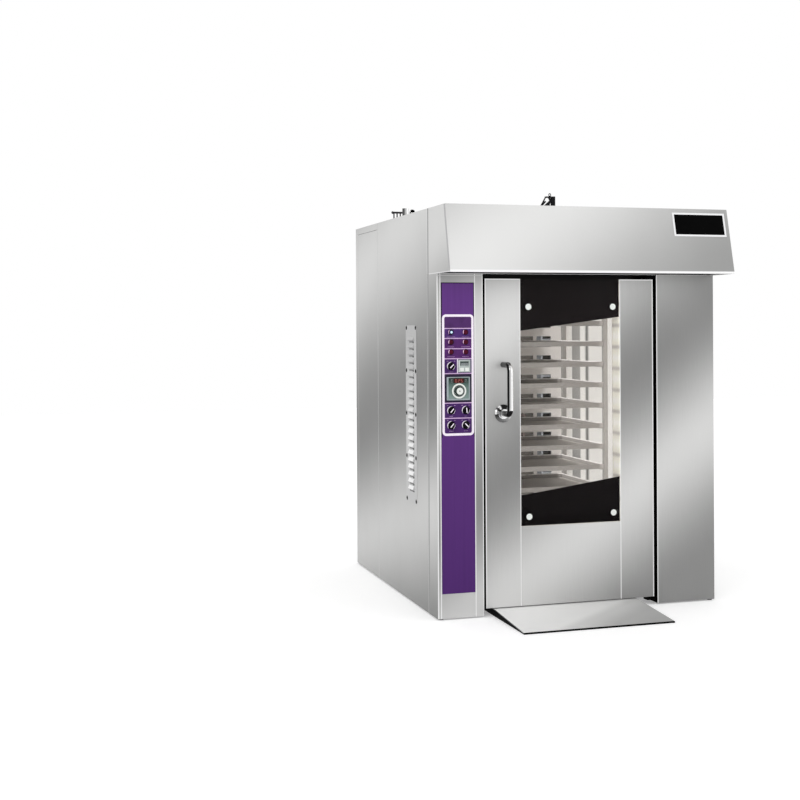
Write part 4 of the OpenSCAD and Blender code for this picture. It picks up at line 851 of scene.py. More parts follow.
def polar(centre: Point, radius: float, angle: float) -> Point:
    """Returns the point at a radius from a centre, at an angle in radians."""
    return (centre[0] + radius * math.cos(angle), centre[1] + radius * math.sin(angle))


def arc(centre: Point, radius: float, start: float, end: float, count: int) -> list[Point]:
    """Returns points on an arc, with angles in degrees."""
    steps = (start + (end - start) * i / count for i in range(count + 1))
    return [polar(centre, radius, math.radians(a)) for a in steps]


def circle(centre: Point, radius: float, count: int = 60) -> list[Point]:
    """Returns points all round a circle."""
    return arc(centre, radius, 0, 360 - 360 / count, count - 1)


def rounded(x0: float, z0: float, x1: float, z1: float, radius: float, count: int = 8) -> list[Point]:
    """Returns the outline of a rectangle with round corners."""
    corners = (((x1 - radius, z1 - radius), 0), ((x0 + radius, z1 - radius), 90),
               ((x0 + radius, z0 + radius), 180), ((x1 - radius, z0 + radius), 270))
    return [p for centre, a in corners for p in arc(centre, radius, a, a + 90, count)]


def crescent(centre: Point, radius: float, width: float, middle: float, spread: float,
             count: int = 18) -> tuple[list[Point], list[Point]]:
    """Returns the outer and inner line of a crescent on a circle.

    Args:
        centre: The circle's centre.
        radius: The circle's radius.
        width: The crescent's width at its middle.
        middle: Angle of its middle in degrees.
        spread: Angle from the middle to each tip.
        count: Steps along it.
    """
    outer, inner = [], []
    for i in range(count + 1):
        share = 2 * i / count - 1
        a = math.radians(middle + share * spread)
        outer.append(polar(centre, radius, a))
        inner.append(polar(centre, radius - width * max(0.06, 1 - share * share), a))
    return outer, inner


class Sheetwork:
    """Collects flat shapes that lie in planes of constant y and makes one mesh of them."""

    def __init__(self, name: str, body: str, material: bpy.types.Material, bevel: float = 0.0) -> None:
        """Starts an empty piece.

        Args:
            name: The piece's name.
            body: The CAD body that it rides on.
            material: Its finish.
            bevel: Width of the rounded edges.
        """
        self.name = name
        self.body = body
        self.material = material
        self.bevel = bevel
        self.mesh = bmesh.new()

    def plate(self, outline: Sequence[Point], back: float, front: float) -> None:
        """Adds an outline in (x, z) that is extruded from back to front along -y."""
        rear = [self.mesh.verts.new((x, back, z)) for x, z in outline]
        fore = [self.mesh.verts.new((x, front, z)) for x, z in outline]
        self.mesh.faces.new(list(reversed(rear)))
        self.mesh.faces.new(fore)
        for i in range(len(outline)):
            j = (i + 1) % len(outline)
            self.mesh.faces.new((rear[i], rear[j], fore[j], fore[i]))

    def band(self, outer: Sequence[Point], inner: Sequence[Point], back: float, front: float,
             closed: bool = True) -> None:
        """Adds the band between two outlines with as many points each."""
        count = len(outer)
        rings = [[self.mesh.verts.new((x, y, z)) for x, z in line]
                 for line in (outer, inner) for y in (back, front)]
        out_back, out_front, in_back, in_front = rings
        for i in range(count if closed else count - 1):
            j = (i + 1) % count
            self.mesh.faces.new((out_front[i], out_front[j], in_front[j], in_front[i]))
            self.mesh.faces.new((out_back[j], out_back[i], in_back[i], in_back[j]))
            self.mesh.faces.new((out_back[i], out_back[j], out_front[j], out_front[i]))
            self.mesh.faces.new((in_back[j], in_back[i], in_front[i], in_front[j]))
        if not closed:
            for i in (0, count - 1):
                self.mesh.faces.new((out_back[i], out_front[i], in_front[i], in_back[i]))

    def bar(self, centre: Point, length: float, width: float, angle: float, back: float,
            front: float) -> None:
        """Adds a bar that lies at an angle in degrees to the x axis."""
        c, s = math.cos(math.radians(angle)), math.sin(math.radians(angle))
        u, v = length / 2, width / 2
        self.plate([(centre[0] + p * c - q * s, centre[1] + p * s + q * c)
                    for p, q in ((-u, -v), (u, -v), (u, v), (-u, v))], back, front)

    def turn(self, matrix: Matrix) -> None:
        """Moves what there is so far."""
        bmesh.ops.transform(self.mesh, verts=self.mesh.verts[:], matrix=matrix)

    def finish(self) -> bpy.types.Object:
        """Makes the object, sets it on its body and returns it."""
        bmesh.ops.recalc_face_normals(self.mesh, faces=self.mesh.faces[:])
        data = bpy.data.meshes.new(self.name)
        self.mesh.to_mesh(data)
        self.mesh.free()
        data.materials.append(self.material)
        piece = bpy.data.objects.new(self.name, data)
        bpy.context.scene.collection.objects.link(piece)
        if self.bevel:
            modifier = piece.modifiers.new("edge", "BEVEL")
            modifier.width = self.bevel
            modifier.segments = 2
            modifier.limit_method = "ANGLE"
        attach(piece, self.body)
        log.info("piece %s on %s, %d faces", self.name, self.body, len(data.polygons))
        return piece


@dataclass
class Casing:
    """The sheets of the casing, its frame and what stands on the roof.

    Attributes:
        column_left: Left side of the control column.
        column_right: Its right side.
        right_left: Left side of the right column.
        panel_left: Left side of the control panel.
        panel_right: Its right side.
        hood_low: Height of the canopy's hem.
        hood_front: A y ahead of the canopy.
        hood_return: The y where the painted highlight on the fold under the canopy ends and the painted shade
            of its inside begins.
        column_front: The y of the columns' face, where the canopy ends.
        cheek_foot: Lower end of the cheek's front edge in (y, z).
        cheek_head: Its upper end.
        fold: Width of the darker strip along that edge, painted shade standing for its fold.
        skin: Thickness of that fold's line.
        seams: The y of the seams between the side panels, which carry painted highlights.
        groove: Painted shade along the soft groove where the columns and the canopy meet the side.
        brow: Painted highlight: a pale line on the column, under the canopy.
        pipe_turns: Pairs of the normal's share along X and the sRGB level of the painted reflection there,
            for the pipes.
    """

    column_left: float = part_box("control_column")[0].x
    column_right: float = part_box("control_column")[1].x
    right_left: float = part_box("right_column")[0].x
    panel_left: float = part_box("control_panel")[0].x
    panel_right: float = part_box("control_panel")[1].x
    hood_low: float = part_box("canopy")[0].z
    hood_front: float = -1.2
    hood_return: float = -1.054
    column_front: float = -0.70
    cheek_foot: Point = (-1.078, 1.862)
    cheek_head: Point = (-0.9995, 2.198)
    fold: float = 0.022
    skin: float = 0.0004
    seams: tuple[float, ...] = (-0.690, 0.315, 0.794)
    groove: Line = Line(Y, -0.705, 0.020, 150, X)
    brow: Line = Line(Z, 1.8318, 0.006, 214, Y)
    pipe_turns: Levels = ((-1.0, 60), (-0.75, 90), (-0.4, 165), (0.0, 232), (1.0, 250))

    def dress(self) -> None:
        """Gives every sheet of the casing its finish."""
        # Painted highlights along the edges of the control column.
        column_lines = tuple(Line(X, x, w, normal=Y) for x, w in (
            (self.column_left + 0.004, 0.008), (self.panel_left - 0.004, 0.006),
            (self.panel_right + 0.004, 0.006), (self.column_right - 0.003, 0.007)))
        dress("control_column", BrushedSteel(
            "steel_control_column", side=COLUMN_WAVE,
            lines=column_lines + (self.groove, self.brow),
            # Painted shade on the column's inner return and its last edge, in the gap beside the door.
            shades=(Shade(X, self.column_right - 0.0025, 1.0, X),
                    Shade(X, self.column_right - 0.0015, 1.0, Y))).build())
        # Painted highlight on the right column's edge and painted shade on its inner return.
        dress("right_column", BrushedSteel(
            "steel_right_column", lines=(Line(X, self.right_left + 0.003, 0.006, normal=Y),),
            shades=(Shade(X, self.right_left - 0.001, self.right_left + 0.0025, X),)).build())
        # Painted highlights along the hem, painted shade along the groove, and under the canopy a painted
        # highlight on the fold and painted shade further in.
        dress("canopy", BrushedSteel(
            "steel_canopy", front=HOOD_WAVE, side=CHEEK_WAVE,
            lines=(Line(Z, self.hood_low + 0.006, 0.016, 252, Y),
                   Line(Z, self.hood_low + 0.003, 0.007, 225, X), self.groove),
            shades=(Shade(Y, self.hood_return, self.column_front, Z, -1),
                    Shade(Y, self.hood_front, self.hood_return, Z, -1, 252))).build())
        # Painted highlights along the seams and painted shade along the groove.
        seams = tuple(Line(Y, y, 0.007, 232, X) for y in self.seams) + (self.groove,)
        plain = BrushedSteel("steel_casing", lines=seams).build()
        for node in ("left_front_panel", "left_rear_panel", "right_side_panel", "rear_panel", "roof_panel"):
            dress(node, plain)
        dress("vent_strip", VentSteel().build())
        dress("casing_screws", Finish.BLACK.material())
        dress("main_frame", Finish.FRAME.material())
        dress("insulation", Finish.WOOL.material())
        log.info("casing dressed, hem at z %.3f", self.hood_low)

    def cheek_fold(self) -> None:
        """Makes a darker strip along the slanting front edge of the canopy's left cheek: painted shade
        standing for its fold.
        """
        steel = Metal("fold_shade_steel", (0.44, 0.44, 0.445), 0.3, 0.4, 0.08, 30.0)
        fold = Sheetwork("canopy_fold_shade", "oven", steel.build())
        (foot, low), (head, high) = self.cheek_foot, self.cheek_head
        fold.plate([(-foot, low), (-head, high), (-head - self.fold, high), (-foot - self.fold, low)],
                   self.column_left, self.column_left - self.skin)
        fold.turn(Matrix.Rotation(-math.pi / 2, 4, "Z"))
        fold.finish()

    def dress_roof(self) -> None:
        """Gives the pipes and the drive on the roof their finishes."""
        dress("drive_gearmotor", Finish.MOTOR.material())
        dress("water_manifold", Finish.FRAME.material())
        for node in ("shaft_bearing", "fan_motor", "steam_generator"):
            dress(node, Finish.CAST.material())
        # Painted reflection on the pipes.
        pipe = TubeChrome("pipe_steel", self.pipe_turns).build()
        for node in ("exhaust_flue", "relief_elbow"):
            dress(node, pipe)
        for node in ("exhaust_damper", "motor_pulley"):
            dress(node, Finish.GALV.material())
        dress("drive_belt", Finish.RUBBER.material())


@dataclass
class Nameplate:
    """The framed plate on the canopy, with a bare black field.

    Attributes:
        rim: Width of the frame.
        recess: Depth of the field behind the frame's face.
        lift: Thickness of the field.
        hem: Foot of the canopy's slope in (y, z).
        run: How far the slope goes back.
        rise: How far it goes up.
        up_slope: Distance of the plate's foot from the hem, along the slope.
    """

    rim: float = 0.010
    recess: float = 0.0015
    lift: float = 0.0006
    hem: Point = (-1.079, 1.853)
    run: float = 0.081
    rise: float = 0.347
    up_slope: float = 0.198

    def build(self) -> None:
        """Makes the black field in the plate's recess."""
        low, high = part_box("nameplate")
        slope = math.atan2(self.run, self.rise)
        dress("nameplate", Metal("nameplate_rim", (0.90, 0.90, 0.91), 0.1, 0.4, 0.04, 200.0).build())
        black = Sheetwork("nameplate_field", "oven", Finish.BLACK.material())
        top = (high.z - low.z) / math.cos(slope) - self.rim - 0.001
        black.plate(rounded(low.x + self.rim, self.rim, high.x - self.rim, top, 0.003),
                    -self.recess, -self.recess - self.lift)
        foot = Vector((0.0, *self.hem)) + Vector((0.0, math.sin(slope), math.cos(slope))) * self.up_slope
        black.turn(Matrix.Translation(foot) @ Matrix.Rotation(-slope, 4, "X"))
        black.finish()


@dataclass
class PanelPrint:
    """The white frame, the lines and the tinted rows printed on the control panel.

    Attributes:
        left: Left side of the frame.
        right: Its right side.
        low: Its lower side.
        high: Its upper side.
        stroke: Width of the frame's line.
        corner: Radius of its corners.
        line: Width of the separators.
        divider: Middle of the upright line beside the timer, in (x, z).
        divider_height: Its height.
        skin: Thickness of one layer of print.
        dash: Width of a caption's dash.
        lamp_caption: Drop below a lamp, width and spacing of the dashes.
        knob_caption: The same below a knob.
        separators: Heights of the lines between the rows.
        rows: Lower edge, upper edge and finish of each tinted row.
    """

    left: float = -0.7955
    right: float = -0.6172
    low: float = 0.978
    high: float = 1.624
    stroke: float = 0.0128
    corner: float = 0.022
    line: float = 0.0050
    divider: Point = (-0.7095, 1.3485)
    divider_height: float = 0.074
    skin: float = 0.0003
    dash: float = 0.0024
    lamp_caption: tuple[float, float, float] = (0.0255, 0.048, 0.0048)
    knob_caption: tuple[float, float, float] = (0.0315, 0.026, 0.0052)
    separators: tuple[float, ...] = (1.549, 1.496, 1.441, 1.388, 1.309, 1.152, 1.071)
    rows: tuple[tuple[float, float, Finish], ...] = (
        (1.549, 1.612, Finish.HEADER), (1.496, 1.549, Finish.ROW_BLUE), (1.441, 1.496, Finish.ROW_MAGENTA),
        (1.388, 1.441, Finish.ROW_MAGENTA), (1.309, 1.388, Finish.ROW_DARK), (1.152, 1.309, Finish.ROW_BLACK),
        (1.071, 1.152, Finish.ROW_DARK), (0.989, 1.071, Finish.ROW_DARK))

    def build(self) -> None:
        """Makes the print as thin layers on the overlay."""
        dress("control_panel", PanelFoil().build())
        front = PANEL_Y - 2 * self.skin
        inner = (self.left + self.stroke, self.low + self.stroke, self.right - self.stroke,
                 self.high - self.stroke)
        border = Sheetwork("panel_border", "oven", Finish.WHITE.material())
        border.band(rounded(self.left, self.low, self.right, self.high, self.corner),
                    rounded(*inner, self.corner - self.stroke), PANEL_Y, front)
        border.bar(self.divider, self.line, self.divider_height, 0.0, PANEL_Y, front)
        border.finish()
        lines = Sheetwork("panel_lines", "oven", Finish.LILAC.material())
        for z in self.separators:
            lines.bar(((self.left + self.right) / 2, z), inner[2] - inner[0], self.line, 0.0, PANEL_Y, front)
        lines.finish()
        for index, (low, high, finish) in enumerate(self.rows):
            row = Sheetwork("panel_row_%d" % (index + 1), "oven", finish.material())
            row.plate(rounded(inner[0], max(low, inner[1]), inner[2], min(high, inner[3]), 0.002, 2),
                      PANEL_Y, PANEL_Y - self.skin)
            row.finish()

    def captions(self, lamps: Sequence[Point], knobs: Sequence[Point]) -> None:
        """Prints faint dashes under the lamps and the knobs.

        Args:
            lamps: Centres of the lamps.
            knobs: Centres of the knobs.
        """
        marks = Sheetwork("panel_marks", "oven", Finish.GREY_PRINT.material())
        front = PANEL_Y - 2 * self.skin
        for centres, (drop, width, cell) in ((lamps, self.lamp_caption), (knobs, self.knob_caption)):
            for index, (x, z) in enumerate(centres):
                count = int(width / cell) - index % 3
                for k in range(count):
                    shift = (k - (count - 1) / 2) * cell
                    marks.bar((x + shift, z - drop), cell * 0.62, self.dash, 0.0, PANEL_Y, front)
        for x, z in knobs:
            for side in (-1, 1):
                marks.bar((x + side * 0.020, z + 0.026), 0.008, self.dash, 0.0, PANEL_Y, front)
        marks.finish()


@dataclass
class Lamps:
    """The indicator lamps with their bezels; the first is lit.

    Attributes:
        centres: The lamps' axes in (x, z).
        radius: Radius of a lens.
        bezel: Width of a bezel.
        spark: Radius of the bright spot on the lit lamp.
        shine: Width of the painted highlight on a bezel, its direction and half its spread in degrees.
    """

    centres: tuple[Point, ...] = tuple((x, 1.424 + 0.0525 * k) for k in (2, 1, 0) for x in (-0.746, -0.664))
    radius: float = 0.012
    bezel: float = 0.0036
    spark: float = 0.0062
    shine: tuple[float, float, float] = (0.0042, 170, 52)

    def build(self) -> None:
        """Makes a bezel, a lens and a painted highlight on each lamp."""
        dress("indicator_lamps", Finish.LENS_RED.material())
        rings = Sheetwork("lamp_bezels", "oven", Finish.LENS_RING.material(), 0.0005)
        shines = Sheetwork("lamp_shines", "oven", Finish.GLINT.material())
        for centre in self.centres:
            outside = self.radius + self.bezel
            rings.band(circle(centre, outside, 24), circle(centre, self.radius + 0.0002, 24),
                       PANEL_Y, PANEL_Y - 0.004)
            # Painted highlight on the bezel.
            shines.band(*crescent(centre, outside, *self.shine), PANEL_Y - 0.0042, PANEL_Y - 0.0050,
                        closed=False)
        rings.finish()
        shines.finish()
        x, z = self.centres[0]
        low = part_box("indicator_lamps")[0].y
        blue = Sheetwork("signal_lens", "oven", Finish.LENS_BLUE.material())
        blue.plate(circle((x, z), self.radius - 0.0003, 18), PANEL_Y - 0.003, low - 0.0002)
        blue.finish()
        glints = Sheetwork("lamp_glints", "oven", Finish.LENS_LIT.material())
        glints.plate(circle((x + 0.0005, z), self.spark, 18), PANEL_Y - 0.003, low - 0.0007)
        glints.finish()


@dataclass
class Knob:
    """A selector knob: white pointer, a painted highlight on the ring round it and a moulded face.

    Attributes:
        node: The CAD node.
        body: The body it rides on.
        centre: Its axis in (x, z).
        angle: The pointer's angle in degrees, from the x axis.
        radius: The knob's radius.
        shines: Reach beyond the knob, width, direction and half the spread of each painted highlight on its
            ring.
    """

    node: str
    body: str
    centre: Point
    angle: float
    radius: float = 0.018
    shines: tuple[tuple[float, float, float, float], ...] = (
        (0.0046, 0.0046, 152, 74), (0.0040, 0.0022, -28, 42))

    def build(self) -> None:
        """Makes the knob's pointer, the ring that it turns in and the painted highlight on that ring."""
        dress(self.node, Finish.KNOB.material())
        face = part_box(self.node)[0].y
        mark = Sheetwork(self.body + "_pointer", self.body, Finish.WHITE.material(), 0.0003)
        mark.bar(self.centre, 2 * self.radius - 0.009, 0.0055, self.angle, face + 0.0002, face - 0.0004)
        mark.finish()
        skirt = Sheetwork(self.body + "_ring", "oven", Finish.KNOB.material(), 0.0003)
        skirt.band(circle(self.centre, self.radius + 0.0042), circle(self.centre, self.radius + 0.0005),
                   PANEL_Y, PANEL_Y - 0.0020)
        skirt.finish()
        # Painted highlight on the ring, in the white of the print.
        shine = Sheetwork(self.body + "_shine", "oven", Finish.WHITE.material())
        for reach, *spread in self.shines:
            shine.band(*crescent(self.centre, self.radius + reach, *spread), PANEL_Y, PANEL_Y - 0.0028,
                       closed=False)
        shine.finish()


class Segment(Enum):
    """The strokes of a seven-segment figure as (x, z, angle), for a figure 1 wide and 2 high."""

    TOP = (0.5, 2.0, 0)
    MIDDLE = (0.5, 1.0, 0)
    BOTTOM = (0.5, 0.0, 0)
    UPPER_LEFT = (0.0, 1.5, 90)
    UPPER_RIGHT = (1.0, 1.5, 90)
    LOWER_LEFT = (0.0, 0.5, 90)
    LOWER_RIGHT = (1.0, 0.5, 90)


FIGURES: dict[str, tuple[Segment, ...]] = {
    "0": tuple(s for s in Segment if s is not Segment.MIDDLE),
    "2": (Segment.TOP, Segment.UPPER_RIGHT, Segment.MIDDLE, Segment.LOWER_LEFT, Segment.BOTTOM),
    "5": (Segment.TOP, Segment.UPPER_LEFT, Segment.MIDDLE, Segment.LOWER_RIGHT, Segment.BOTTOM),
}


@dataclass
class Instruments:
    """The timer and the temperature controller with its display and dial.

    Attributes:
        dial: The dial's axis in (x, z).
        dial_radius: The dial's radius.
        ticks: Number of marks round the dial.
        figure: Width of a figure on the controller, and half its height.
        reading: The figures on the controller.
        timer: The timer's middle in (x, z).
        timer_figure: Width and half the height of a figure on the timer.
    """

    dial: Point = (-0.704, 1.216)
    dial_radius: float = 0.038
    ticks: int = 24
    figure: float = 0.0080
    reading: str = "025"
    timer: Point = (-0.672, 1.349)
    timer_figure: Point = (0.0055, 0.0050)

    def build(self) -> None:
        """Makes the instruments' faces."""
        self.controller()
        self.scale()
        self.timer_face()

    def controller_finish(self, low: float, high: float) -> bpy.types.Material:
        """Returns the controller's grey-green front, darker above, between two heights."""
        g = Graph("controller_front")
        noise = g.noise((200.0,) * 3, 2.0)
        colour = g.ramp(g.axis(Z), ((low, rgb(134, 152, 148)), (self.dial[1] + 0.012, rgb(104, 126, 120)),
                                    (high - 0.012, rgb(48, 68, 62))))
        return g.surface(Base_Color=g.mottle(0.2, colour, noise, 0.4), Roughness=0.5, Specular_IOR_Level=0.1,
                         Normal=g.bump(noise, 0.0001, 0.3))

    def write(self, piece: Sheetwork, sign: str, corner: Point, cell: Point, stroke: Point, back: float,
              front: float) -> None:
        """Adds a seven-segment figure to a piece.

        Args:
            piece: The piece.
            sign: The figure.
            corner: Its lower left corner in (x, z).
            cell: Its width and half its height.
            stroke: Length and width of a stroke.
            back: The y of the strokes' back.
            front: The y of their front.
        """
        for segment in FIGURES[sign]:
            u, v, angle = segment.value
            piece.bar((corner[0] + u * cell[0], corner[1] + v * cell[1]), *stroke, angle, back, front)

    def controller(self) -> None:
        """Makes the controller's surround, display and figures."""
        low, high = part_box("temperature_controller")
        dress("temperature_controller", self.controller_finish(low.z, high.z))
        face = low.y
        rim = Sheetwork("controller_rim", "oven", Finish.MODULE_RIM.material(), 0.0006)
        rim.band(rounded(low.x - 0.006, low.z + 0.0005, high.x - 0.0005, high.z - 0.0005, 0.004),
                 rounded(low.x + 0.004, low.z + 0.008, high.x - 0.007, high.z - 0.005, 0.002),
                 face + 0.0012, face - 0.0012)
        rim.finish()
        window = Sheetwork("controller_display", "oven", Finish.DISPLAY.material())
        top = high.z - 0.0075
        window.plate(rounded(low.x + 0.006, top - 0.027, high.x - 0.009, top, 0.002, 3),
                     face + 0.0014, face + 0.0010)
        window.finish()
        middle = Sheetwork("controller_window", "oven", Finish.DISPLAY_RED.material())
        middle.plate(rounded(self.dial[0] - 0.029, top - 0.026, self.dial[0] + 0.029, top - 0.002, 0.002, 3),
                     face + 0.0012, face + 0.0008)
        middle.finish()
        digits = Sheetwork("controller_digits", "oven", Finish.RED_GLOW.material())
        for index, sign in enumerate(self.reading):
            x0 = self.dial[0] - 2.45 * self.figure + index * 1.95 * self.figure
            self.write(digits, sign, (x0, top - 0.0215), (self.figure, self.figure),
                       (self.figure * 0.86, self.figure * 0.2), face + 0.0009, face + 0.0004)
        digits.finish()
        notes = Sheetwork("controller_marks", "oven", Finish.LCD_PALE.material())
        for side in (-1, 1):
            for row, wide in ((0.007, 0.011), (0.012, 0.008), (0.020, 0.013)):
                notes.bar((self.dial[0] + side * 0.041, top - row), wide, 0.0016, 0.0,
                          face + 0.0011, face + 0.0005)
            notes.bar((self.dial[0] + side * 0.046, self.dial[1] + 0.026), 0.014, 0.0030, 0.0,
                      face + 0.0012, face + 0.0002)
        notes.finish()

    def scale(self) -> None:
        """Makes the ring, the ticks and the knob's cap on the dial."""
        dress("temperature_dial", Finish.LCD.material())
        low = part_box("temperature_dial")[0]
        disc = low.y + 0.013
        ring = Sheetwork("dial_ring", "dial", Finish.DIAL_WHITE.material(), 0.0004)
        ring.band(circle(self.dial, self.dial_radius + 0.0022), circle(self.dial, self.dial_radius - 0.0068),
                  disc + 0.0006, disc - 0.0012)
        for tick in range(self.ticks):
            angle = tick * 360 / self.ticks
            reach = 0.0262 if tick % 2 else 0.0255
            ring.bar(polar(self.dial, reach, math.radians(angle)), 0.004, 0.0010, angle,
                     disc + 0.0002, disc - 0.0006)
        ring.finish()
        cap = Sheetwork("dial_cap", "dial", Finish.DIAL_WHITE.material(), 0.0008)
        cap.band(circle(self.dial, 0.45 * self.dial_radius + 0.0014), circle(self.dial, 0.004),
                 low.y + 0.0002, low.y - 0.0012)
        cap.bar((self.dial[0] + 0.006, self.dial[1] + 0.006), 0.018, 0.003, 45, low.y + 0.0002, low.y - 0.002)
        cap.finish()

    def timer_face(self) -> None:
        """Makes the timer's display, figures and keys."""
        dress("timer_module", Finish.MODULE.material())
        x, z = self.timer
        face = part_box("timer_module")[0].y
        window = Sheetwork("timer_display", "oven", Finish.LCD.material())
        window.plate(rounded(x - 0.0275, z - 0.002, x + 0.0245, z + 0.0300, 0.001, 2),
                     face + 0.0009, face + 0.0005)
        window.finish()
        pale = Sheetwork("timer_window", "oven", Finish.LCD_PALE.material())
        pale.plate(rounded(x - 0.0200, z + 0.0030, x + 0.0230, z + 0.0165, 0.001, 2),
                   face + 0.0007, face + 0.0003)
        pale.finish()
        figures = Sheetwork("timer_digits", "oven", Finish.BLACK.material())
        for index in range(4):
            x0 = x - 0.017 + index * 0.0100 + (0.0015 if index > 1 else 0.0)
            self.write(figures, "0", (x0, z + 0.0048), self.timer_figure, (0.0048, 0.0009),
                       face + 0.0004, face + 0.0001)
        figures.finish()
        keys = Sheetwork("timer_keys", "oven", Finish.DIAL_WHITE.material(), 0.0004)
        for side in (-1, 1):
            key = x + side * 0.0145
            keys.plate(rounded(key - 0.011, z - 0.0285, key + 0.011, z - 0.0090, 0.003, 4),
                       face + 0.0002, face - 0.0018)
        keys.bar((x - 0.0305, z - 0.002), 0.0035, 0.060, 0.0, face + 0.0002, face - 0.0006)
        keys.finish()


@dataclass
class Door:
    """The door's sheets, panes, caps and handle.

    Attributes:
        left: Left side of the skin.
        right: Its right side.
        glass_left: Left side of the outer pane.
        glass_right: Its right side.
        rosette: The handle's axis in (x, z).
        fold_back: The y behind which the skin's folded sides are black.
        cavity: Left, right, lower and upper wall of the window cavity.
        cap: Distance of a button's axis from the caps' outer corners.
        button: Radius of a button.
        glow: Strength of the light that the cavity's walls give off.
    """

    left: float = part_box("door_skin")[0].x
    right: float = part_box("door_skin")[1].x
    glass_left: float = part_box("outer_glass")[0].x
    glass_right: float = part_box("outer_glass")[1].x
    rosette: Point = tuple(sum(corner[i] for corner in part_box("handle_rosette")) / 2 for i in (X, Z))
    # fold_back: The y behind which the skin's folded sides are painted black as shade.
    fold_back: float = -0.832
    cavity: tuple[float, float, float, float] = (-0.346, 0.252, 0.470, 1.815)
    cap: float = 0.020
    button: float = 0.0172
    # glow: Strength of the painted light that the cavity's walls give off, though they are no lamp.
    glow: float = 0.3

    def dress(self) -> None:
        """Gives the door's nodes their finishes."""
        # Painted highlights along the skin's edges and top, and painted shade on its folded sides.
        edges = ((self.left + 0.003, 0.007), (self.glass_left - 0.0035, 0.006),
                 (self.glass_right + 0.0035, 0.006), (self.right - 0.003, 0.007))
        lines = tuple(Line(X, x, w) for x, w in edges) + (Line(Z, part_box("door_skin")[1].z - 0.003, 0.007),)
        shades = (Shade(Y, self.fold_back, -0.7, X),)
        dress("door_skin", BrushedSteel("steel_door", lines=lines, shades=shades).build())
        dress("door_core", self.core_finish())
        dress("door_liner", Liner("door_liner_steel").build())
        dress("window_mask", MaskPrint().build())
        glass = WindowGlass("window_glass").build()
        dress("outer_glass", glass)
        dress("inner_glass", glass)
        # Painted reflections on the handle's rosette and lever.
        dress("handle_rosette", ChromeWithPaintedReflection("rosette_chrome", self.rosette).build())
        dress("handle_lever", TubeChrome("lever_chrome").build())
        for node in ("latch_bolt", "strike_plate"):
            dress(node, Finish.CHROME.material())
        for node in ("pivot_brackets", "pivot_pins", "glass_caps"):
            dress(node, Finish.BLACK.material())
        dress("door_gasket", Finish.RUBBER.material())

    def core_finish(self) -> bpy.types.Material:
        """Returns the core's finish: painted shade, near black, outside the window cavity, and bright steel
        on the cavity's walls, which glow as painted light.
        """
        g = Graph("door_core_finish")
        left, right, low, high = self.cavity
        cavity = g.product(g.inside(g.axis(X), left, right), g.inside(g.axis(Z), low, high))
        steel = g.ramp(g.math("PINGPONG", g.axis(Z), 0.06), (
            (0.0, rgb(196, 192, 186)), (0.02, rgb(234, 232, 222)), (0.06, rgb(246, 244, 236))))
        cloud = g.noise((9.0, 9.0, 5.0), 3.0)
        # Painted shade outside the cavity; the emission below is painted light on its walls.
        colour = g.mix(cavity, PAINTED_SHADE_BLACK, g.mottle(0.25, steel, cloud, 0.38))
        return g.surface(Base_Color=colour, Roughness=0.45, Specular_IOR_Level=0.1, Emission_Color=colour,
                         Emission_Strength=self.glow, Normal=g.bump(cloud, 0.0002, 0.2))

    def caps(self) -> None:
        """Makes the white button in the middle of each cap."""
        low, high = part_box("glass_caps")
        buttons = Sheetwork("cap_buttons", "door", Finish.DIAL_WHITE.material(), 0.0005)
        for x in (low.x + self.cap, high.x - self.cap):
            for z in (low.z + self.cap, high.z - self.cap):
                buttons.plate(circle((x, z), self.button, 36), low.y + 0.0003, low.y - 0.0006)
        buttons.finish()


@dataclass
class Chamber:
    """The baking chamber with its lamps, air panel, fan and rack.

    Attributes:
        rim: Radius of a tray's wire rim, upwards.
        squash: The rim's reach outwards, as a share of that radius.
        depth: Height of a tray.
        levels: Number of trays.
        sides: Number of sides of the rim's section.
    """

    rim: float = 0.0028
    squash: float = 0.35
    depth: float = 0.028
    levels: int = 12
    sides: int = 6

    def dress(self) -> None:
        """Gives the nodes inside the chamber their finishes."""
        dress("chamber_shell", Liner("liner_shell", shade_black_front=True).build())
        liner = Liner("liner_steel").build()
        for node in ("air_panel", "fan_impeller"):
            dress(node, liner)
        dress("chamber_floor", Finish.GALV.material())
        dress("chamber_lamps", Finish.LAMP.material())
        dress("heater_elements", Finish.HEATER.material())
        for node in ("rack_frame", "rack_spindle"):
            dress(node, Finish.RACK.material())
        dress("trays", TraySteel().build())
        for node in ("front_wheels", "rear_wheels"):
            dress(node, Finish.WHEEL.material())

    def tray_rims(self) -> None:
        """Makes the rolled wire rim of each tray."""
        low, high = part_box("trays")
        pitch = (high.z - low.z - self.depth) / (self.levels - 1)
        outline = rounded(low.x + 0.001, low.y + 0.001, high.x - 0.001, high.y - 0.001, 0.012, 4)
        count = len(outline)
        rims = Sheetwork("tray_rims", "rack", Finish.RIM.material())
        for level in range(self.levels):
            z = low.z + self.depth + level * pitch - self.rim
            rings = []
            for step in range(self.sides):
                a = math.radians(step * 360 / self.sides)
                out, up = self.rim * math.cos(a) * self.squash, self.rim * math.sin(a)
                ring = []
                for i, (x, y) in enumerate(outline):
                    along = (Vector(outline[(i + 1) % count]) - Vector(outline[i - 1])).normalized()
                    ring.append(rims.mesh.verts.new((x + along.y * out, y - along.x * out, z + up)))
                rings.append(ring)
            for step in range(self.sides):
                a, b = rings[step], rings[(step + 1) % self.sides]
                for i in range(count):
                    j = (i + 1) % count
                    rims.mesh.faces.new((a[i], a[j], b[j], b[i]))
        rims.finish()


@dataclass
class Ramp:
    """The ramp in front of the door."""

    def dress(self) -> None:
        """Gives the ramp's plate and support their finishes."""
        # Painted reflection bands on the plate.
        dress("ramp_plate", BrushedSteel("steel_ramp", top=RAMP_WAVE, roughness=0.4).build())
        dress("ramp_support", Finish.BLACK.material())


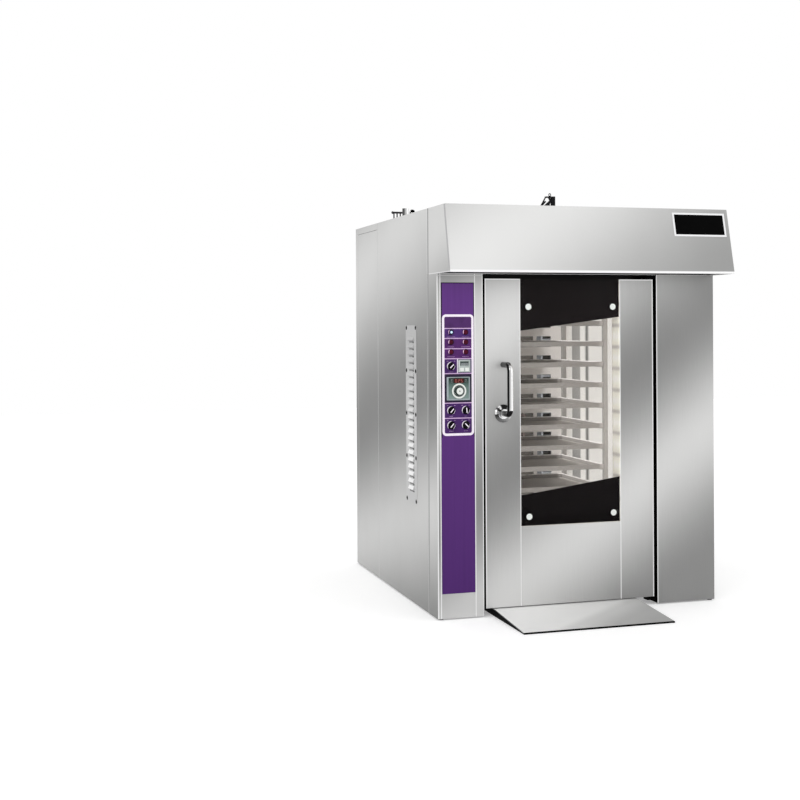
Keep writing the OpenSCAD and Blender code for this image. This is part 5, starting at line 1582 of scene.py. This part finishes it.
@dataclass
class Studio:
    """Floor, light, surroundings and camera.

    Attributes:
        lens: Focal length in millimetres, on a film 36 mm wide.
        shift_y: How far the film is shifted.
        place: Where the camera stands.
        yaw: Its turn about the upright axis in degrees.
        roll: Its turn about its own axis in degrees.
        world: Strength of the surroundings as a light.
        floor_colour: The floor's colour.
        floor_lift: How much the floor glows where it is seen.
    """

    lens: float = 56.835
    shift_y: float = -0.0941
    place: Colour = (-2.9098, -7.2173, 1.5704)
    yaw: float = -16.472
    roll: float = -0.294
    world: float = 0.90
    floor_colour: Colour = (0.88, 0.88, 0.88)
    floor_lift: float = 0.3

    def build(self) -> None:
        """Makes everything around the oven."""
        self.floor()
        self.surroundings()
        self.lights()
        self.camera()

    def floor(self) -> None:
        """Makes a plain pale floor."""
        mesh = bmesh.new()
        bmesh.ops.create_grid(mesh, x_segments=8, y_segments=8, size=14.0)
        data = bpy.data.meshes.new("studio_floor")
        mesh.to_mesh(data)
        mesh.free()
        g = Graph("studio_floor")
        mottle = g.ramp(g.noise((0.7,) * 3), ((0.3, tuple(c * 0.985 for c in self.floor_colour)),
                                             (0.7, self.floor_colour)))
        data.materials.append(g.surface(
            Base_Color=mottle, Roughness=0.9, Specular_IOR_Level=0.1, Emission_Color=(1.0, 1.0, 1.0),
            Emission_Strength=g.product(g.seen(), self.floor_lift)))
        floor = bpy.data.objects.new("studio_floor", data)
        bpy.context.scene.collection.objects.link(floor)
        floor.location = (0.0, 2.0, -0.001)

    def surroundings(self) -> None:
        """Makes a white background with a softer light for the scene itself."""
        world = bpy.data.worlds.new("studio")
        bpy.context.scene.world = world
        world.use_nodes = True
        g = Graph("studio", world.node_tree)
        soft, white = g.add("Background"), g.add("Background")
        for node, strength in ((soft, self.world), (white, 1.0)):
            g.feed(node.inputs["Color"], (1.0, 1.0, 1.0))
            g.feed(node.inputs["Strength"], strength)
        mixed = g.add("MixShader")
        for socket, value in zip(mixed.inputs, (g.seen(), soft.outputs[0], white.outputs[0])):
            g.feed(socket, value)
        g.feed(g.add("OutputWorld").inputs[0], mixed.outputs[0])

    def lights(self) -> None:
        """Adds soft lights: a key, a fill, one under the canopy and three inside the chamber."""
        self.area("key", (-4.5, -6.5, 5.0), (0.0, 0.0, 1.0), (4.0, 4.0), 75.0)
        self.area("fill", (4.5, -6.0, 3.0), (0.0, 0.0, 1.0), (4.0, 4.0), 22.0)
        self.area("brow", (0.0, -1.04, 1.80), (0.0, -0.86, 1.68), (1.5, 0.12), 0.5, False)
        self.area("aisle_glow", (0.32, -0.12, 0.95), (0.50, -0.12, 0.95), (1.0, 1.7), 8.0, False)
        self.area("entry_glow", (-0.05, -0.70, 1.0), (-0.05, 0.0, 1.0), (0.8, 1.5), 3.6, False)
        self.area("rear_glow", (-0.05, 0.455, 0.95), (-0.05, 0.60, 0.95), (1.0, 1.7), 17.0, False)

    def area(self, name: str, place: Colour, target: Colour, size: Point, power: float,
             seen: bool = True) -> None:
        """Adds a soft light that looks at a target.

        Args:
            name: The light's name.
            place: Where it stands.
            target: The point that it looks at.
            size: Its width and height.
            power: Its power in watts.
            seen: Whether mirrors show it.
        """
        data = bpy.data.lights.new(name, "AREA")
        data.energy = power
        data.shape = "RECTANGLE"
        data.size, data.size_y = size
        light = bpy.data.objects.new(name, data)
        light.location = place
        light.rotation_euler = (Vector(target) - Vector(place)).to_track_quat("-Z", "Y").to_euler()
        light.visible_camera = False
        light.visible_glossy = seen
        light.visible_transmission = False
        bpy.context.scene.collection.objects.link(light)

    def camera(self) -> None:
        """Sets the camera at the photograph's view."""
        data = bpy.data.cameras.new("camera")
        data.lens = self.lens
        data.sensor_width = 36.0
        data.shift_y = self.shift_y
        data.clip_end = 100.0
        camera = bpy.data.objects.new("camera", data)
        matrix = Matrix.Translation(self.place)
        for degrees, axis in ((self.yaw, "Z"), (90, "X"), (self.roll, "Z")):
            matrix = matrix @ Matrix.Rotation(math.radians(degrees), 4, axis)
        camera.matrix_world = matrix
        scene = bpy.context.scene
        scene.collection.objects.link(camera)
        bpy.context.scene.camera = camera
        scene.view_settings.view_transform = "Standard"


KNOBS = (
    Knob("programme_knob", "programme", (-0.746, 1.349), 45),
    Knob("light_switch", "light", (-0.746, 1.113), 50),
    Knob("steam_switch", "steam", (-0.664, 1.113), 95),
    Knob("fan_switch", "air", (-0.746, 1.034), 50),
    Knob("heat_switch", "heat", (-0.664, 1.034), 135),
)


def main() -> None:
    """Builds the looks in order."""
    logging.basicConfig(level=logging.INFO, format="%(name)s: %(message)s")
    casing = Casing()
    casing.dress()
    casing.dress_roof()
    casing.cheek_fold()
    Nameplate().build()
    panel = PanelPrint()
    panel.build()
    lamps = Lamps()
    lamps.build()
    panel.captions(lamps.centres, [knob.centre for knob in KNOBS])
    for knob in KNOBS:
        knob.build()
    Instruments().build()
    door = Door()
    door.dress()
    door.caps()
    chamber = Chamber()
    chamber.dress()
    chamber.tray_rims()
    Ramp().dress()
    Studio().build()


if __name__ == "__main__":
    main()
